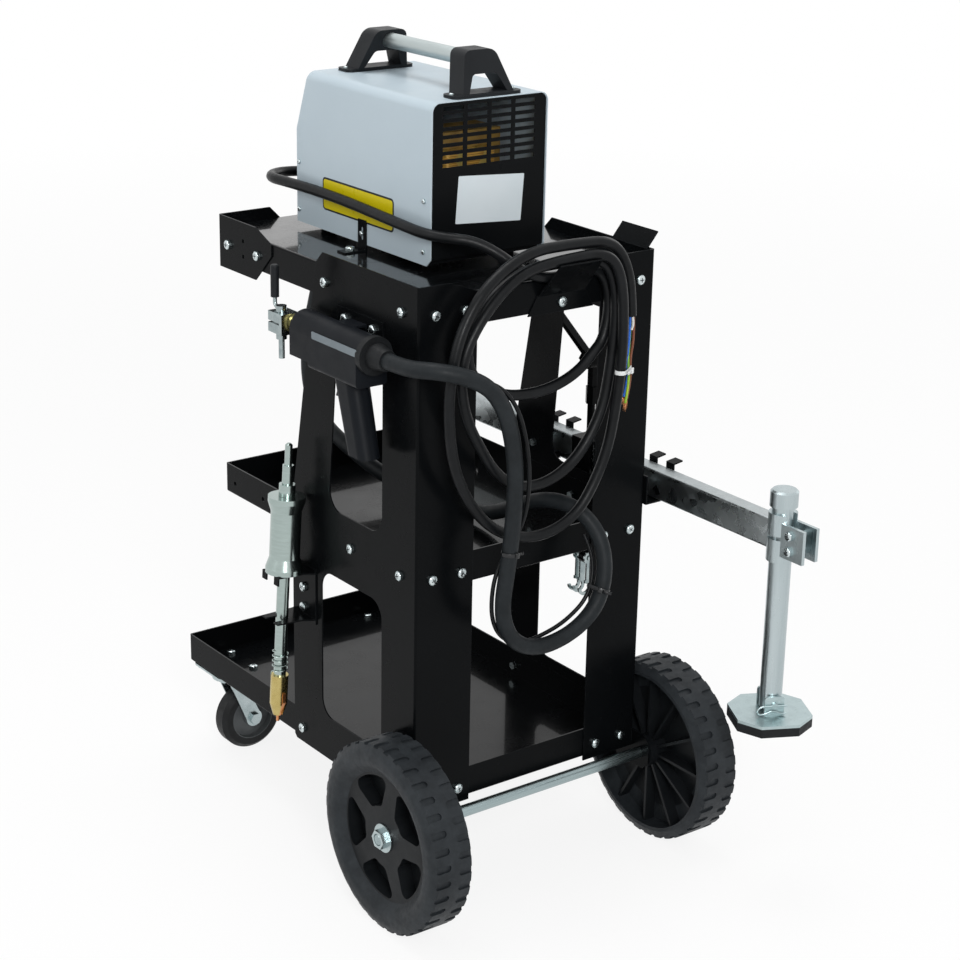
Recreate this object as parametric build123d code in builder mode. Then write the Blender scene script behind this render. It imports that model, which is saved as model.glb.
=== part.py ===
from build123d import *
import os
from math import cos, radians, sin, sqrt, tan

os.makedirs("parts", exist_ok=True)

# Trolley: sheet-metal frame, measured across the outer faces of its side panels
trolley_width = 370.0
sheet = 2.0
bend = 3.0
deck_height = 820.0
middle_shelf_height = 440.0
bottom_shelf_height = 137.0
deck_depth = 465.0
middle_depth = 464.0
bottom_depth = 581.0
tray_wall = 42.0

# Side panels
panel_rise = 15.0
panel_drop = 5.0
panel_top_depth = 211.0
panel_nose = 15.0
panel_foot_depth = 286.0
panel_knee = 45.0
panel_foot_chamfer = 5.0
rear_leg_width = 75.0
front_leg_width = 70.0
window_sill = 57.0
upper_window_head = 85.0
lower_window_head = 35.0
upper_window_top_depth = 178.0
upper_window_low_depth = 198.0
window_corner = 25.0
leg_flange_width = 88.0
leg_flange_slope = 45.0
beam_tab_width = 70.0
beam_tab_setback = 12.0
beam_tab_rise = 18.0
beam_tab_reach = 15.0

# Bolts that hold the sheet metal together
bolt_radius = 3.0
bolt_head_radius = 6.5
bolt_head_height = 3.5
bolt_head_sides = 12
bolt_shank_sides = 6
nut_radius = 5.8
nut_height = 5.0
hole_clearance = 0.3
rear_bolt_inset = 24.0
rear_bolt_pitch = 45.0
top_bolt_drop = 22.0
shelf_bolt_rise = 17.0
side_bolt_setback = 34.0
top_side_bolt_depth = 204.0
middle_side_bolt_depth = 145.0
bottom_side_bolt_depth = 264.0

# Corner guards on the deck's front corners
guard_side_reach = 134.0
guard_front_reach = 96.0
guard_chamfer = 40.0
guard_front_chamfer = 16.0
guard_drop = 14.0
guard_bolt_inset = 24.0
guard_bolt_pitch = 74.0
guard_slot = 5.0
guard_slot_pitch = 21.0

# Cable hook on the back of the deck
hook_x = -33.0
hook_bend_drop = 19.0
hook_base_width = 74.0
hook_tip_width = 66.0
hook_wing_width = 104.0
hook_wing_drop = 26.0
hook_length = 58.0
hook_lean = 40.0
hook_bolt_drop = 13.0

# Rear wheels
wheel_radius = 127.0
tyre_width = 62.0
wheel_gap = 6.0
rim_radius = 86.0
rim_web = 26.0
hub_radius = 22.0
hub_gap = 3.0
hub_recess = 11.0
rim_pocket_count = 5
rim_pocket_depth = 21.0
rim_pocket_margin = 3.0
rim_pocket_tip = 42.0
rim_pocket_span = 56.0
rim_pocket_tip_span = 32.0
rim_pocket_corner = 9.0
rim_pocket_turn = 24.0
rim_rib_count = 12
rim_rib_width = 4.0
rim_rib_height = 17.0
tread_count = 36
tread_depth = 3.0
tread_gap = 9.0
tread_slot = 25.0
tyre_shoulder = 6.0
tyre_band = 17.0
tyre_slope = 14.0
tyre_round = 16.0
axle_radius = 8.0
axle_setback = 16.0
axle_nut_radius = 13.0
axle_nut_height = 8.0
axle_washer_radius = 19.0
axle_washer_thickness = 2.0
lug_reach = 20.0
lug_depth = 45.0
lug_rise = 25.0
lug_drop = 21.0
lug_corner = 11.0

# Casters
caster_wheel_radius = 50.0
caster_wheel_width = 30.0
caster_rim_radius = 33.0
caster_hub_radius = 13.0
caster_web = 10.0
caster_axle_radius = 6.0
caster_trail = 33.0
caster_swivel_x = 148.0
caster_swivel_depth = 532.0
caster_plate_length = 84.0
caster_plate_width = 70.0
caster_plate_thickness = 3.0
caster_bolt_margin = 10.0
kingpin_radius = 6.0
fork_head_radius = 23.0
fork_head_height = 14.0
fork_cheek = 2.5
fork_gap = 1.5
fork_overlap = 6.0
caster_nut_radius = 9.0
caster_nut_height = 6.0

# Gaps between pieces
clearance = 0.3
running_gap = 0.05
seat_gap = 0.1

# Welder case
machine_x = 10.0
machine_width = 179.0
machine_front = 404.0
machine_back = 96.0
machine_height = 204.0
machine_foot = 8.0
machine_foot_radius = 11.0
machine_foot_inset = 28.0
front_kink = 124.5
front_lean = 29.0
rear_cut = 9.0
cover_sheet = 1.2
cover_corner = 12.0
base_sheet = 1.5
base_wall = 20.0
panel_recess = 2.5
case_panel = 1.5
vent_rows = 8
vent_columns = 4
vent_length = 31.0
vent_height = 5.3
vent_pitch = 10.0
vent_column_pitch = 37.0
vent_top_drop = 44.0
screw_radius = 1.6
screw_head_radius = 3.4
screw_head_height = 1.6
screw_length = 7.0
screw_inset = 6.0
screw_rows = 2
screw_row_pitch = 64.0
screw_low = 17.0

# Carrying handle on the case
handle_base_width = 80.0
handle_top_width = 46.0
handle_height = 55.0
handle_depth = 30.0
handle_lean = 22.0
handle_front = 328.0
handle_back = 137.0
handle_tube_radius = 10.0
handle_tube_wall = 2.0
handle_tube_rise = 41.0
handle_socket = 20.0
handle_round = 9.0
handle_shoulder = 13.0
handle_window_low = 5.0
handle_window_high = 27.0
handle_window_width = 58.0
handle_window_top_width = 36.0
handle_window_round = 7.0
handle_flange_width = 106.0
handle_flange_height = 4.0

# Inside the case
core_width = 126.0
core_height = 150.0
core_depth = 62.0
core_limb = 21.0
core_y = -190.0
winding_gap = 1.0
winding_proud = 24.0
board_width = 120.0
board_height = 70.0
board_thickness = 1.6
board_standoff = 14.0
board_post_radius = 3.0
board_post_inset = 7.0
board_rise = 55.0

# Front panel controls and glands
knob_radius = 14.0
knob_height = 15.0
knob_shaft_radius = 3.0
knob_collar_radius = 6.0
knob_collar = 2.0
knob_grip = 7.0
knob_rise = 100.0
switch_x = 44.0
setting_x = -44.0
gland_radius = 10.0
gland_flange_radius = 15.0
gland_flange = 6.0
gland_length = 26.0
gland_nut = 5.0
mains_gland_x = -4.0
mains_gland_rise = 44.0
gun_gland_x = -50.0
gun_gland_rise = 40.0

# Strap that holds the case to the deck
strap_width = 18.0
strap_y = -246.0
strap_height = 40.0
strap_foot = 34.0
strap_bolt_out = 20.0
strap_slot_width = 6.0
strap_slot_length = 18.0

# Spot-welding gun, hung on the gun-side panel
gun_standoff = 30.0
gun_axis_drop = 75.0
gun_back = 55.0
gun_length = 150.0
gun_radius = 23.0
gun_belly = 33.0
gun_belly_corner = 6.0
gun_skirt_drop = 8.0
gun_skirt_length = 108.0
grip_top_drop = 30.0
grip_height = 104.0
grip_top_setback = 46.0
grip_rake = 30.0
grip_top_width = 33.0
grip_top_length = 46.0
grip_low_width = 31.0
grip_low_length = 42.0
grip_corner = 13.0
trigger_width = 12.0
trigger_height = 22.0
trigger_drop = 58.0
trigger_length = 22.0
trigger_proud = 9.0
trigger_travel = 4.0
bush_radius = 24.5
bush_flange = 10.0
bush_neck_radius = 17.0
bush_tip_radius = 13.0
bush_length = 35.0
collar_radius = 13.0
collar_length = 17.0
collar_groove = 2.0
clamp_radius = 13.5
clamp_length = 32.0
electrode_radius = 5.0
electrode_depth = 26.0
clamp_ear = 24.0
clamp_ear_height = 27.0
clamp_slit = 2.5
clamp_screw_out = 14.0
clamp_screw_radius = 4.0
clamp_screw_head = 8.0
clamp_screw_head_radius = 7.0
clamp_screw_tail = 34.0
lever_radius = 2.75
lever_reach = 15.0
lever_rise = 12.0
lever_grip_radius = 5.5
lever_grip_length = 42.0
lever_socket = 22.0

# Rail that the gun hangs on
hanger_length = 102.0
hanger_height = 26.0
hanger_rail = 40.0
hanger_gap = 2.0
hanger_lip = 12.0
hanger_bolt_pitch = 62.0
hanger_y = -123.0
hanger_drop = 57.0
clip_thickness = 1.4
clip_depth = 9.0
clip_width = 34.0
clip_bridge = 3.0

# Slide hammer and its bracket
hammer_standoff = 33.75
hammer_y = -256.0
hammer_height = 396.0
hammer_lean = 3.3
weight_length = 106.0
weight_radius = 25.0
weight_waist = 20.5
weight_flange = 7.0
weight_taper = 14.0
rod_radius = 8.4
rod_drop = 148.0
rod_top_radius = 7.35
rod_top_length = 42.0
rod_tip_radius = 5.0
rod_tip_length = 30.0
rod_socket = 18.0
stop_radius = 11.0
stop_length = 16.0
spring_radius = 10.4
spring_wire = 1.4
spring_turns = 4
spring_pitch = 7.0
holder_radius = 11.9
holder_length = 58.0
holder_taper = 16.0
holder_nose_radius = 7.0
holder_slot = 5.0
holder_slot_length = 34.0
tip_radius = 2.35
tip_reach = 10.0
tip_plate_width = 13.0
tip_fit = 0.2
bracket_width = 55.0
bracket_low = 76.0
bracket_top = 4.0
bracket_bolts = 2
bracket_bolt_drop = 29.0
bracket_bolt_pitch = 29.0
lower_fork_drop = 66.0
fork_width = 40.0
fork_reach = 19.0
fork_slot_gap = 0.9
fork_tab = 12.0

# Pull beam, its cradles and its leg
beam_width = 25.0
beam_height = 40.0
beam_wall = 2.0
beam_low = 489.0
beam_gap = 21.0
beam_front = 480.0
leg_y = 227.0
cradle_rear_y = -19.5
cradle_front_y = -234.0
cradle_arm = 15.0
cradle_arm_pitch = 34.0
cradle_rise = 7.0
cradle_lip = 14.0
cradle_wing = 38.0
cradle_bolt_rise = 20.0
leg_radius = 14.5
leg_wall = 2.5
leg_top = 548.0
leg_pin_height = 280.0
leg_tail = 8.0
leg_knob_radius = 18.0
leg_knob_height = 22.0
collar_wall = 4.0
leg_collar_low = 13.0
leg_collar_high = 11.0
collar_ear_length = 51.0
collar_ear_height = 44.0
collar_ear = 5.0
collar_gap = 18.0
collar_bolt_setback = 28.0
collar_bolt_pitch = 21.0
collar_slot = 5.0
foot_size = 100.0
foot_chamfer = 25.0
foot_plate = 4.0
foot_pad = 12.0
foot_turn = 27.0
foot_drop = 14.0
foot_ear = 3.0
foot_ear_width = 26.0
foot_ear_rise = 12.0
foot_ear_corner = 4.0
foot_pin_radius = 4.0
foot_pin_head = 7.0

# Puller that rides on the beam
carriage_y = -155.0
carriage_length = 40.0
carriage_wall = 3.0
post_radius = 5.5
post_height = 49.0
post_nut_radius = 9.0
post_nut_height = 24.0
eye_width = 8.0
eye_radius = 9.0
eye_rise = 35.0
eye_pin_radius = 4.0
cheek = 5.5
hub_wall = 8.0
arm_length = 105.0
arm_width = 11.0
arm_thickness = 7.0
arm_lift = 33.0
link_length = 132.0
link_radius = 4.5
link_eye_radius = 9.0
link_eye_width = 8.0
hook_count = 3
hook_plate = 3.0
hook_pitch = 9.0
hook_bar_radius = 4.0
hook_strip = 9.0
hook_hang = 44.0
hook_curl = 11.0

# Cords
mains_diameter = 14.0
gun_cord_diameter = 21.0
cord_sides = 10
arc_share = 0.45
coil_top_left = -6.0
coil_top_right = -70.0
coil_left = 163.0
coil_left_step = 17.5
coil_left_z = 718.0
coil_left_z_step = 6.0
coil_right = -126.0
coil_right_step = 18.5
coil_right_z = 735.0
coil_low = 499.0
coil_low_step = 92.0
coil_middle_x = 20.0
coil_seat_y = 8.0
coil_seat_rise = 22.0
coil_strands = [(4, 17.5), (20, 24), (12, 39)]
coil_depths = [(14, 19), (24, 35), (38, 37)]
coil_tail = (-142, 28, 775)

# Places worked out from the sizes above
half = trolley_width / 2
inner = half - sheet
panel_top = deck_height + panel_rise
panel_low = bottom_shelf_height - panel_drop
panel_nose_depth = panel_top_depth + panel_nose
axle_y = axle_setback
axle_z = wheel_radius
top_bolt_z = deck_height - top_bolt_drop
middle_bolt_z = middle_shelf_height + shelf_bolt_rise
bottom_bolt_z = bottom_shelf_height + shelf_bolt_rise
deck_low = deck_height - tray_wall
touch = 0.01


def save(built, name):
    built.part.label = name
    export_step(built.part, f"parts/{name}.step")


def drill(spots, way, radius, depth):
    # round holes through the piece being built, each centred on its spot
    with Locations(*[Plane(origin=spot, z_dir=way) for spot in spots]):
        Cylinder(radius, 2 * depth, mode=Mode.SUBTRACT)


def edges_at(built, x=None, y=None, z=None):
    # straight edges whose middle lies at the given coordinates
    def lies_there(edge):
        middle = edge.center()
        pairs = ((middle.X, x), (middle.Y, y), (middle.Z, z))
        return all(wanted is None or abs(found - wanted) < touch for found, wanted in pairs)

    return built.edges().filter_by(lies_there)


def turned(axis_plane, outline):
    # a turned piece: the outline's points are radius and height along the plane's normal
    with BuildPart() as piece:
        with BuildSketch(Plane(axis_plane.origin, x_dir=axis_plane.x_dir, z_dir=-axis_plane.y_dir)):
            with BuildLine():
                Polyline(*outline, close=True)
            make_face()
        revolve(axis=Axis(axis_plane.origin, axis_plane.z_dir))
    return piece


# Side panels: a sheet with two windows, a rear flange and a lug for the axle
knee_z = middle_shelf_height + panel_knee
panel_outline = [
    (0, panel_low),
    (0, panel_top),
    (-panel_top_depth, panel_top),
    (-panel_nose_depth, panel_top - panel_nose),
    (-panel_foot_depth, knee_z),
    (-panel_foot_depth, panel_low + panel_foot_chamfer),
    (-panel_foot_depth + panel_foot_chamfer, panel_low),
]
upper_window = [
    (-rear_leg_width, middle_shelf_height + window_sill),
    (-rear_leg_width, deck_height - upper_window_head),
    (-upper_window_top_depth, deck_height - upper_window_head),
    (-upper_window_low_depth, middle_shelf_height + window_sill),
]
lower_window = [
    (-rear_leg_width, bottom_shelf_height + window_sill),
    (-rear_leg_width, middle_shelf_height - lower_window_head),
    (-(panel_foot_depth - front_leg_width), middle_shelf_height - lower_window_head),
    (-(panel_foot_depth - front_leg_width), bottom_shelf_height + window_sill),
]
flange_outline = [
    (half, panel_low),
    (half, panel_top),
    (half - leg_flange_slope, panel_top),
    (half - leg_flange_width, deck_height),
    (half - leg_flange_width, panel_low),
]
lug_top = panel_low + lug_rise
lug_outline = [
    (-lug_depth, lug_top),
    (axle_y + lug_reach - lug_corner, lug_top),
    (axle_y + lug_reach, lug_top - lug_corner),
    (axle_y + lug_reach, axle_z - lug_drop + lug_corner),
    (axle_y + lug_reach - lug_corner, axle_z - lug_drop),
    (axle_y - lug_depth, axle_z - lug_drop),
    (-lug_depth, panel_low),
]
rear_bolt_xs = (half - rear_bolt_inset, half - rear_bolt_inset - rear_bolt_pitch)
bolt_levels = (top_bolt_z, middle_bolt_z, bottom_bolt_z)
rear_bolts = [(x, z) for x in rear_bolt_xs for z in bolt_levels]
side_bolts = [
    (-side_bolt_setback, top_bolt_z),
    (-top_side_bolt_depth, top_bolt_z),
    (-side_bolt_setback, middle_bolt_z),
    (-middle_side_bolt_depth, middle_bolt_z),
    (-side_bolt_setback, bottom_bolt_z),
    (-bottom_side_bolt_depth, bottom_bolt_z),
]
bolt_hole = bolt_radius + hole_clearance


def make_side_panel(side, fixing_spots):
    with BuildPart() as panel:
        with BuildSketch(Plane.YZ.offset(side * inner)):
            with BuildLine():
                Polyline(*panel_outline, close=True)
            make_face()
            for window in (upper_window, lower_window):
                with BuildLine():
                    FilletPolyline(*window, radius=window_corner, close=True)
                make_face(mode=Mode.SUBTRACT)
        extrude(amount=side * sheet)
        with BuildSketch(Plane.XZ):
            with BuildLine():
                Polyline(*[(side * x, z) for x, z in flange_outline], close=True)
            make_face()
        extrude(amount=sheet)
        fillet(edges_at(panel, x=side * half, y=0), bend)
        with BuildSketch(Plane.YZ.offset(side * inner)):
            with BuildLine():
                Polyline(*lug_outline, close=True)
            make_face()
        extrude(amount=side * sheet)
        drill([(side * half, axle_y, axle_z)], (1, 0, 0), axle_radius + running_gap, 2 * sheet)
        drill([(side * x, 0, z) for x, z in rear_bolts], (0, 1, 0), bolt_hole, 2 * sheet)
        spots = side_bolts + fixing_spots
        drill([(side * half, y, z) for y, z in spots], (1, 0, 0), bolt_hole, 2 * sheet)
        if side < 0:
            # rest for the beam at the top of the beam-side panel, bent outwards
            tab_middle = -beam_tab_setback - beam_tab_width / 2
            tab_slope = Vector(-beam_tab_reach, 0, beam_tab_rise)
            tab_plane = Plane(
                origin=(-half, tab_middle, panel_top),
                x_dir=(0, 1, 0),
                z_dir=(beam_tab_rise, 0, beam_tab_reach),
            )
            with BuildSketch(tab_plane):
                with Locations((0, -tab_plane.y_dir.dot(tab_slope.normalized()) * sheet)):
                    Rectangle(beam_tab_width, sheet * 2)
                with Locations((0, tab_plane.y_dir.dot(tab_slope) / 2)):
                    Rectangle(beam_tab_width, tab_slope.length)
            extrude(amount=sheet)
    return panel


# Fixings of the hung pieces, as places on a side panel
bracket_bolts_at = [
    (hammer_y, hammer_height - bracket_bolt_drop - bracket_bolt_pitch * i) for i in range(bracket_bolts)
]
hanger_z = deck_height - hanger_drop
hanger_bolts_at = [(hanger_y + step * hanger_bolt_pitch / 2, hanger_z) for step in (-1, 1)]
cradle_ys = (cradle_rear_y, cradle_front_y)
cradle_bolts_at = [(y, beam_low + cradle_bolt_rise) for y in cradle_ys]

side_panel_gun_side = make_side_panel(1, bracket_bolts_at + hanger_bolts_at)
save(side_panel_gun_side, "side_panel_gun_side")
side_panel_beam_side = make_side_panel(-1, cradle_bolts_at)
save(side_panel_beam_side, "side_panel_beam_side")

# Trays: the deck is a pan turned down, the two shelves are pans turned up
guard_bolt_ys = [-(deck_depth - guard_bolt_inset) + step * guard_bolt_pitch for step in range(2)]
guard_front_bolt_x = half - guard_front_reach / 2
hook_bend_z = deck_height - hook_bend_drop
hook_bolt_spot = (hook_x, 0, hook_bend_z - hook_bolt_drop)
case_side = machine_x + machine_width / 2
strap_bolt_spot = (case_side + strap_bolt_out, strap_y, deck_height)
caster_bolt_x = caster_plate_width / 2 - caster_bolt_margin
caster_bolt_y = caster_plate_length / 2 - caster_bolt_margin
caster_bolts_at = [
    (step_x * caster_bolt_x, step_y * caster_bolt_y)
    for step_x in (-1, 1)
    for step_y in (-1, 1)
]


def make_tray(depth, low, open_side):
    # open_side is 0 for a pan turned down and -1 for a pan turned up
    with BuildPart() as tray:
        with BuildSketch(Plane.XY.offset(low)):
            with Locations((0, -(depth + sheet) / 2)):
                Rectangle(2 * inner, depth - sheet)
        extrude(amount=tray_wall)
        fillet(tray.edges().filter_by(Axis.Z), bend)
        offset(amount=-sheet, openings=tray.faces().sort_by(Axis.Z)[open_side])
        fillet(tray.faces().sort_by(Axis.Z)[-1 - open_side].outer_wire().edges(), bend - touch)
    return tray


def drill_tray(level, side_depths):
    drill([(x * side, 0, level) for x in rear_bolt_xs for side in (-1, 1)], (0, 1, 0), bolt_hole, 3 * sheet)
    spots = [(side * half, -depth, level) for depth in side_depths for side in (-1, 1)]
    drill(spots, (1, 0, 0), bolt_hole, 3 * sheet)


deck_blank = make_tray(deck_depth, deck_low, 0)
with BuildPart() as top_tray:
    add(deck_blank.part)
    drill_tray(top_bolt_z, (side_bolt_setback, top_side_bolt_depth))
    spots = [(side * half, y, top_bolt_z) for y in guard_bolt_ys for side in (-1, 1)]
    drill(spots, (1, 0, 0), bolt_hole, 3 * sheet)
    spots = [(side * guard_front_bolt_x, -deck_depth, top_bolt_z) for side in (-1, 1)]
    drill(spots, (0, 1, 0), bolt_hole, 2 * sheet)
    drill([hook_bolt_spot], (0, 1, 0), bolt_hole, 3 * sheet)
    drill([strap_bolt_spot], (0, 0, 1), bolt_hole, 2 * sheet)
save(top_tray, "top_tray")

middle_blank = make_tray(middle_depth, middle_shelf_height, -1)
with BuildPart() as middle_tray:
    add(middle_blank.part)
    drill_tray(middle_bolt_z, (side_bolt_setback, middle_side_bolt_depth))
    front_holes = [-(middle_depth - guard_bolt_inset) + step * guard_bolt_pitch for step in range(2)]
    spots = [(side * half, y, middle_bolt_z) for y in front_holes for side in (-1, 1)]
    drill(spots, (1, 0, 0), bolt_hole, 3 * sheet)
save(middle_tray, "middle_tray")

bottom_blank = make_tray(bottom_depth, bottom_shelf_height, -1)
with BuildPart() as bottom_tray:
    add(bottom_blank.part)
    drill_tray(bottom_bolt_z, (side_bolt_setback, bottom_side_bolt_depth))
    spots = [
        (side * caster_swivel_x + x, -caster_swivel_depth + y, bottom_shelf_height)
        for x, y in caster_bolts_at
        for side in (-1, 1)
    ]
    drill(spots, (0, 0, 1), bolt_hole, 2 * sheet)
save(bottom_tray, "bottom_tray")

# Corner guards: folded plates round the deck's front corners
guard_low = deck_low - guard_drop
guard_high = panel_top
guard_middle = (guard_low + guard_high) / 2
guard_y = -(deck_depth + sheet)
guard_side_outline = [
    (guard_y, guard_low),
    (guard_y, guard_high),
    (guard_y + guard_side_reach - guard_chamfer, guard_high),
    (guard_y + guard_side_reach, guard_high - guard_front_chamfer),
    (guard_y + guard_side_reach, guard_low + guard_chamfer),
    (guard_y + guard_side_reach - guard_chamfer, guard_low),
]
guard_front_outline = [
    (half, guard_low),
    (half, guard_high),
    (half - guard_front_reach + guard_front_chamfer, guard_high),
    (half - guard_front_reach, guard_high - guard_front_chamfer),
    (half - guard_front_reach, guard_low + guard_front_chamfer),
    (half - guard_front_reach + guard_front_chamfer, guard_low),
]
with BuildPart() as corner_guards:
    with BuildSketch(Plane.YZ.offset(inner)):
        with BuildLine():
            Polyline(*guard_side_outline, close=True)
        make_face()
        with Locations((sum(guard_bolt_ys) / 2, guard_middle)):
            with GridLocations(0, guard_slot_pitch, 1, 2):
                Rectangle(guard_slot, guard_slot, mode=Mode.SUBTRACT)
    extrude(amount=sheet)
    with BuildSketch(Plane.XZ.offset(deck_depth)):
        with BuildLine():
            Polyline(*guard_front_outline, close=True)
        make_face()
    extrude(amount=sheet)
    fillet(edges_at(corner_guards, x=half, y=guard_y), bend)
    drill([(half, y, top_bolt_z) for y in guard_bolt_ys], (1, 0, 0), bolt_hole, 2 * sheet)
    drill([(guard_front_bolt_x, guard_y, top_bolt_z)], (0, 1, 0), bolt_hole, 2 * sheet)
    mirror(about=Plane.YZ)
save(corner_guards, "corner_guards")

# Cable hook: a wing on the deck's rear wall and a tongue bent out and up
tongue_plane = Plane(
    origin=(hook_x, 0, hook_bend_z),
    x_dir=(1, 0, 0),
    z_dir=(0, -cos(radians(hook_lean)), sin(radians(hook_lean))),
)
with BuildPart() as cable_hook:
    with BuildSketch(Plane.XZ):
        with BuildLine():
            Polyline(
                (hook_x - hook_base_width / 2, hook_bend_z),
                (hook_x + hook_base_width / 2, hook_bend_z),
                (hook_x + hook_wing_width / 2, hook_bend_z - hook_wing_drop),
                (hook_x - hook_wing_width / 2, hook_bend_z - hook_wing_drop),
                close=True,
            )
        make_face()
    extrude(amount=sheet)
    with BuildSketch(tongue_plane):
        with BuildLine():
            Polyline(
                (-hook_base_width / 2, -sheet),
                (hook_base_width / 2, -sheet),
                (hook_tip_width / 2, hook_length),
                (-hook_tip_width / 2, hook_length),
                close=True,
            )
        make_face()
    extrude(amount=-sheet)
    drill([hook_bolt_spot], (0, 1, 0), bolt_hole, 2 * sheet)
save(cable_hook, "cable_hook")

# Hammer bracket: a plate on the gun-side panel with two forked shelves square to the hammer
hammer_x = half + hammer_standoff
lean = radians(hammer_lean)
hammer_plane = Plane(
    origin=(hammer_x, hammer_y, hammer_height),
    x_dir=(cos(lean), 0, sin(lean)),
    z_dir=(-sin(lean), 0, cos(lean)),
)
fork_slot = 2 * (rod_radius + fork_slot_gap)


def fork_shelf(height):
    # a shelf below the given height along the hammer, with a slot open to the outside
    shelf_inside = -(hammer_standoff - height * sin(lean) - sheet / 2) / cos(lean)
    with BuildPart() as shelf:
        with BuildSketch(hammer_plane.offset(height - sheet)):
            with BuildLine():
                Polyline(
                    (shelf_inside, -bracket_width / 2),
                    (-fork_slot, -fork_width / 2),
                    (fork_reach, -fork_width / 2),
                    (fork_reach, fork_width / 2),
                    (-fork_slot, fork_width / 2),
                    (shelf_inside, bracket_width / 2),
                    close=True,
                )
            make_face()
            Circle(fork_slot / 2, mode=Mode.SUBTRACT)
            with Locations((fork_reach / 2, 0)):
                Rectangle(fork_reach, fork_slot, mode=Mode.SUBTRACT)
        extrude(amount=sheet)
    return shelf.part


upper_shelf = fork_shelf(0)
lower_shelf = fork_shelf(-lower_fork_drop)
with BuildPart() as hammer_bracket:
    with BuildSketch(Plane.YZ.offset(half)):
        with Locations((hammer_y, hammer_height + (bracket_top - bracket_low) / 2)):
            Rectangle(bracket_width, bracket_low + bracket_top)
    extrude(amount=sheet)
    add([upper_shelf, lower_shelf])
    with BuildSketch(hammer_plane.offset(-fork_tab)):
        for way in (-1, 1):
            with Locations((fork_reach + sheet / 2, way * (fork_width + fork_slot) / 4)):
                Rectangle(sheet, (fork_width - fork_slot) / 2)
    extrude(amount=fork_tab)
    drill([(half, y, z) for y, z in bracket_bolts_at], (1, 0, 0), bolt_hole, 2 * sheet)
save(hammer_bracket, "hammer_bracket")

# Gun hanger: a plate on the panel with a rail bent up in front of it
rail_out = half + sheet + hanger_gap
rail_low = hanger_z - hanger_lip
with BuildPart() as gun_hanger:
    with BuildSketch(Plane.YZ.offset(half)):
        with Locations((hanger_y, hanger_z)):
            Rectangle(hanger_length, hanger_height)
    extrude(amount=sheet)
    with BuildSketch(Plane.XZ.offset(-hanger_y - hanger_rail / 2)):
        with BuildLine():
            Polyline(
                (half, rail_low - sheet),
                (rail_out + sheet, rail_low - sheet),
                (rail_out + sheet, rail_low + hanger_lip),
                (rail_out, rail_low + hanger_lip),
                (rail_out, rail_low),
                (half, rail_low),
                close=True,
            )
        make_face()
    extrude(amount=hanger_rail)
    drill([(half, y, z) for y, z in hanger_bolts_at], (1, 0, 0), bolt_hole, 2 * sheet)
save(gun_hanger, "gun_hanger")

# Beam cradles: two shelves on the beam-side panel, each with two arms outside the beam
beam_x = -(half + beam_gap + beam_width / 2)
beam_inside = -(half + beam_gap)
beam_outside = beam_inside - beam_width
beam_high = beam_low + beam_height
arm_inside = beam_outside - clearance
arm_outside = arm_inside - sheet
cradle_width = cradle_arm_pitch + cradle_arm
cradle_top = beam_high + cradle_rise
with BuildPart() as beam_cradles:
    for cradle_y in cradle_ys:
        with BuildSketch(Plane.XZ.offset(-cradle_y - cradle_width / 2)):
            with BuildLine():
                Polyline(
                    (-half, beam_low - sheet),
                    (arm_outside, beam_low - sheet),
                    (arm_outside, beam_low),
                    (-half - sheet, beam_low),
                    (-half - sheet, beam_low + cradle_wing),
                    (-half, beam_low + cradle_wing),
                    close=True,
                )
            make_face()
        extrude(amount=cradle_width)
        for step in (-1, 1):
            arm_end = cradle_y + (step * cradle_arm_pitch + cradle_arm) / 2
            with BuildSketch(Plane.XZ.offset(-arm_end)):
                with BuildLine():
                    Polyline(
                        (arm_inside, beam_low - sheet),
                        (arm_inside, cradle_top),
                        (arm_outside - cradle_lip, cradle_top + sheet),
                        (arm_outside - cradle_lip, cradle_top),
                        (arm_outside, cradle_top - sheet),
                        (arm_outside, beam_low - sheet),
                        close=True,
                    )
                make_face()
            extrude(amount=cradle_arm)
    drill([(-half, y, z) for y, z in cradle_bolts_at], (1, 0, 0), bolt_hole, 2 * sheet)
save(beam_cradles, "beam_cradles")

# Strap from the deck up the side of the case, with a slot for its screw
strap_slot_z = deck_height + strap_height - strap_slot_length
with BuildPart() as machine_strap:
    with BuildSketch(Plane.XZ.offset(-strap_y - strap_width / 2)):
        with BuildLine():
            Polyline(
                (case_side, deck_height),
                (case_side + strap_foot, deck_height),
                (case_side + strap_foot, deck_height + sheet),
                (case_side + sheet, deck_height + sheet),
                (case_side + sheet, deck_height + strap_height),
                (case_side, deck_height + strap_height),
                close=True,
            )
        make_face()
    extrude(amount=strap_width)
    with BuildSketch(Plane.YZ.offset(case_side)):
        with Locations((strap_y, strap_slot_z)):
            SlotOverall(strap_slot_length, strap_slot_width, rotation=90)
    extrude(amount=sheet, mode=Mode.SUBTRACT)
    drill([strap_bolt_spot], (0, 0, 1), bolt_hole, 2 * sheet)
save(machine_strap, "machine_strap")

# Rear axle, with washers and nuts among the fasteners
hub_in = hub_gap
hub_out = wheel_gap + tyre_width - hub_recess
washer_out = hub_out + clearance + axle_washer_thickness
axle_end = half + washer_out + axle_nut_height
with BuildPart() as rear_axle:
    with BuildSketch(Plane.YZ.offset(-axle_end)):
        with Locations((axle_y, axle_z)):
            Circle(axle_radius)
    extrude(amount=2 * axle_end)
    chamfer(rear_axle.edges(), bolt_radius / 2)
save(rear_axle, "rear_axle")


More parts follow.
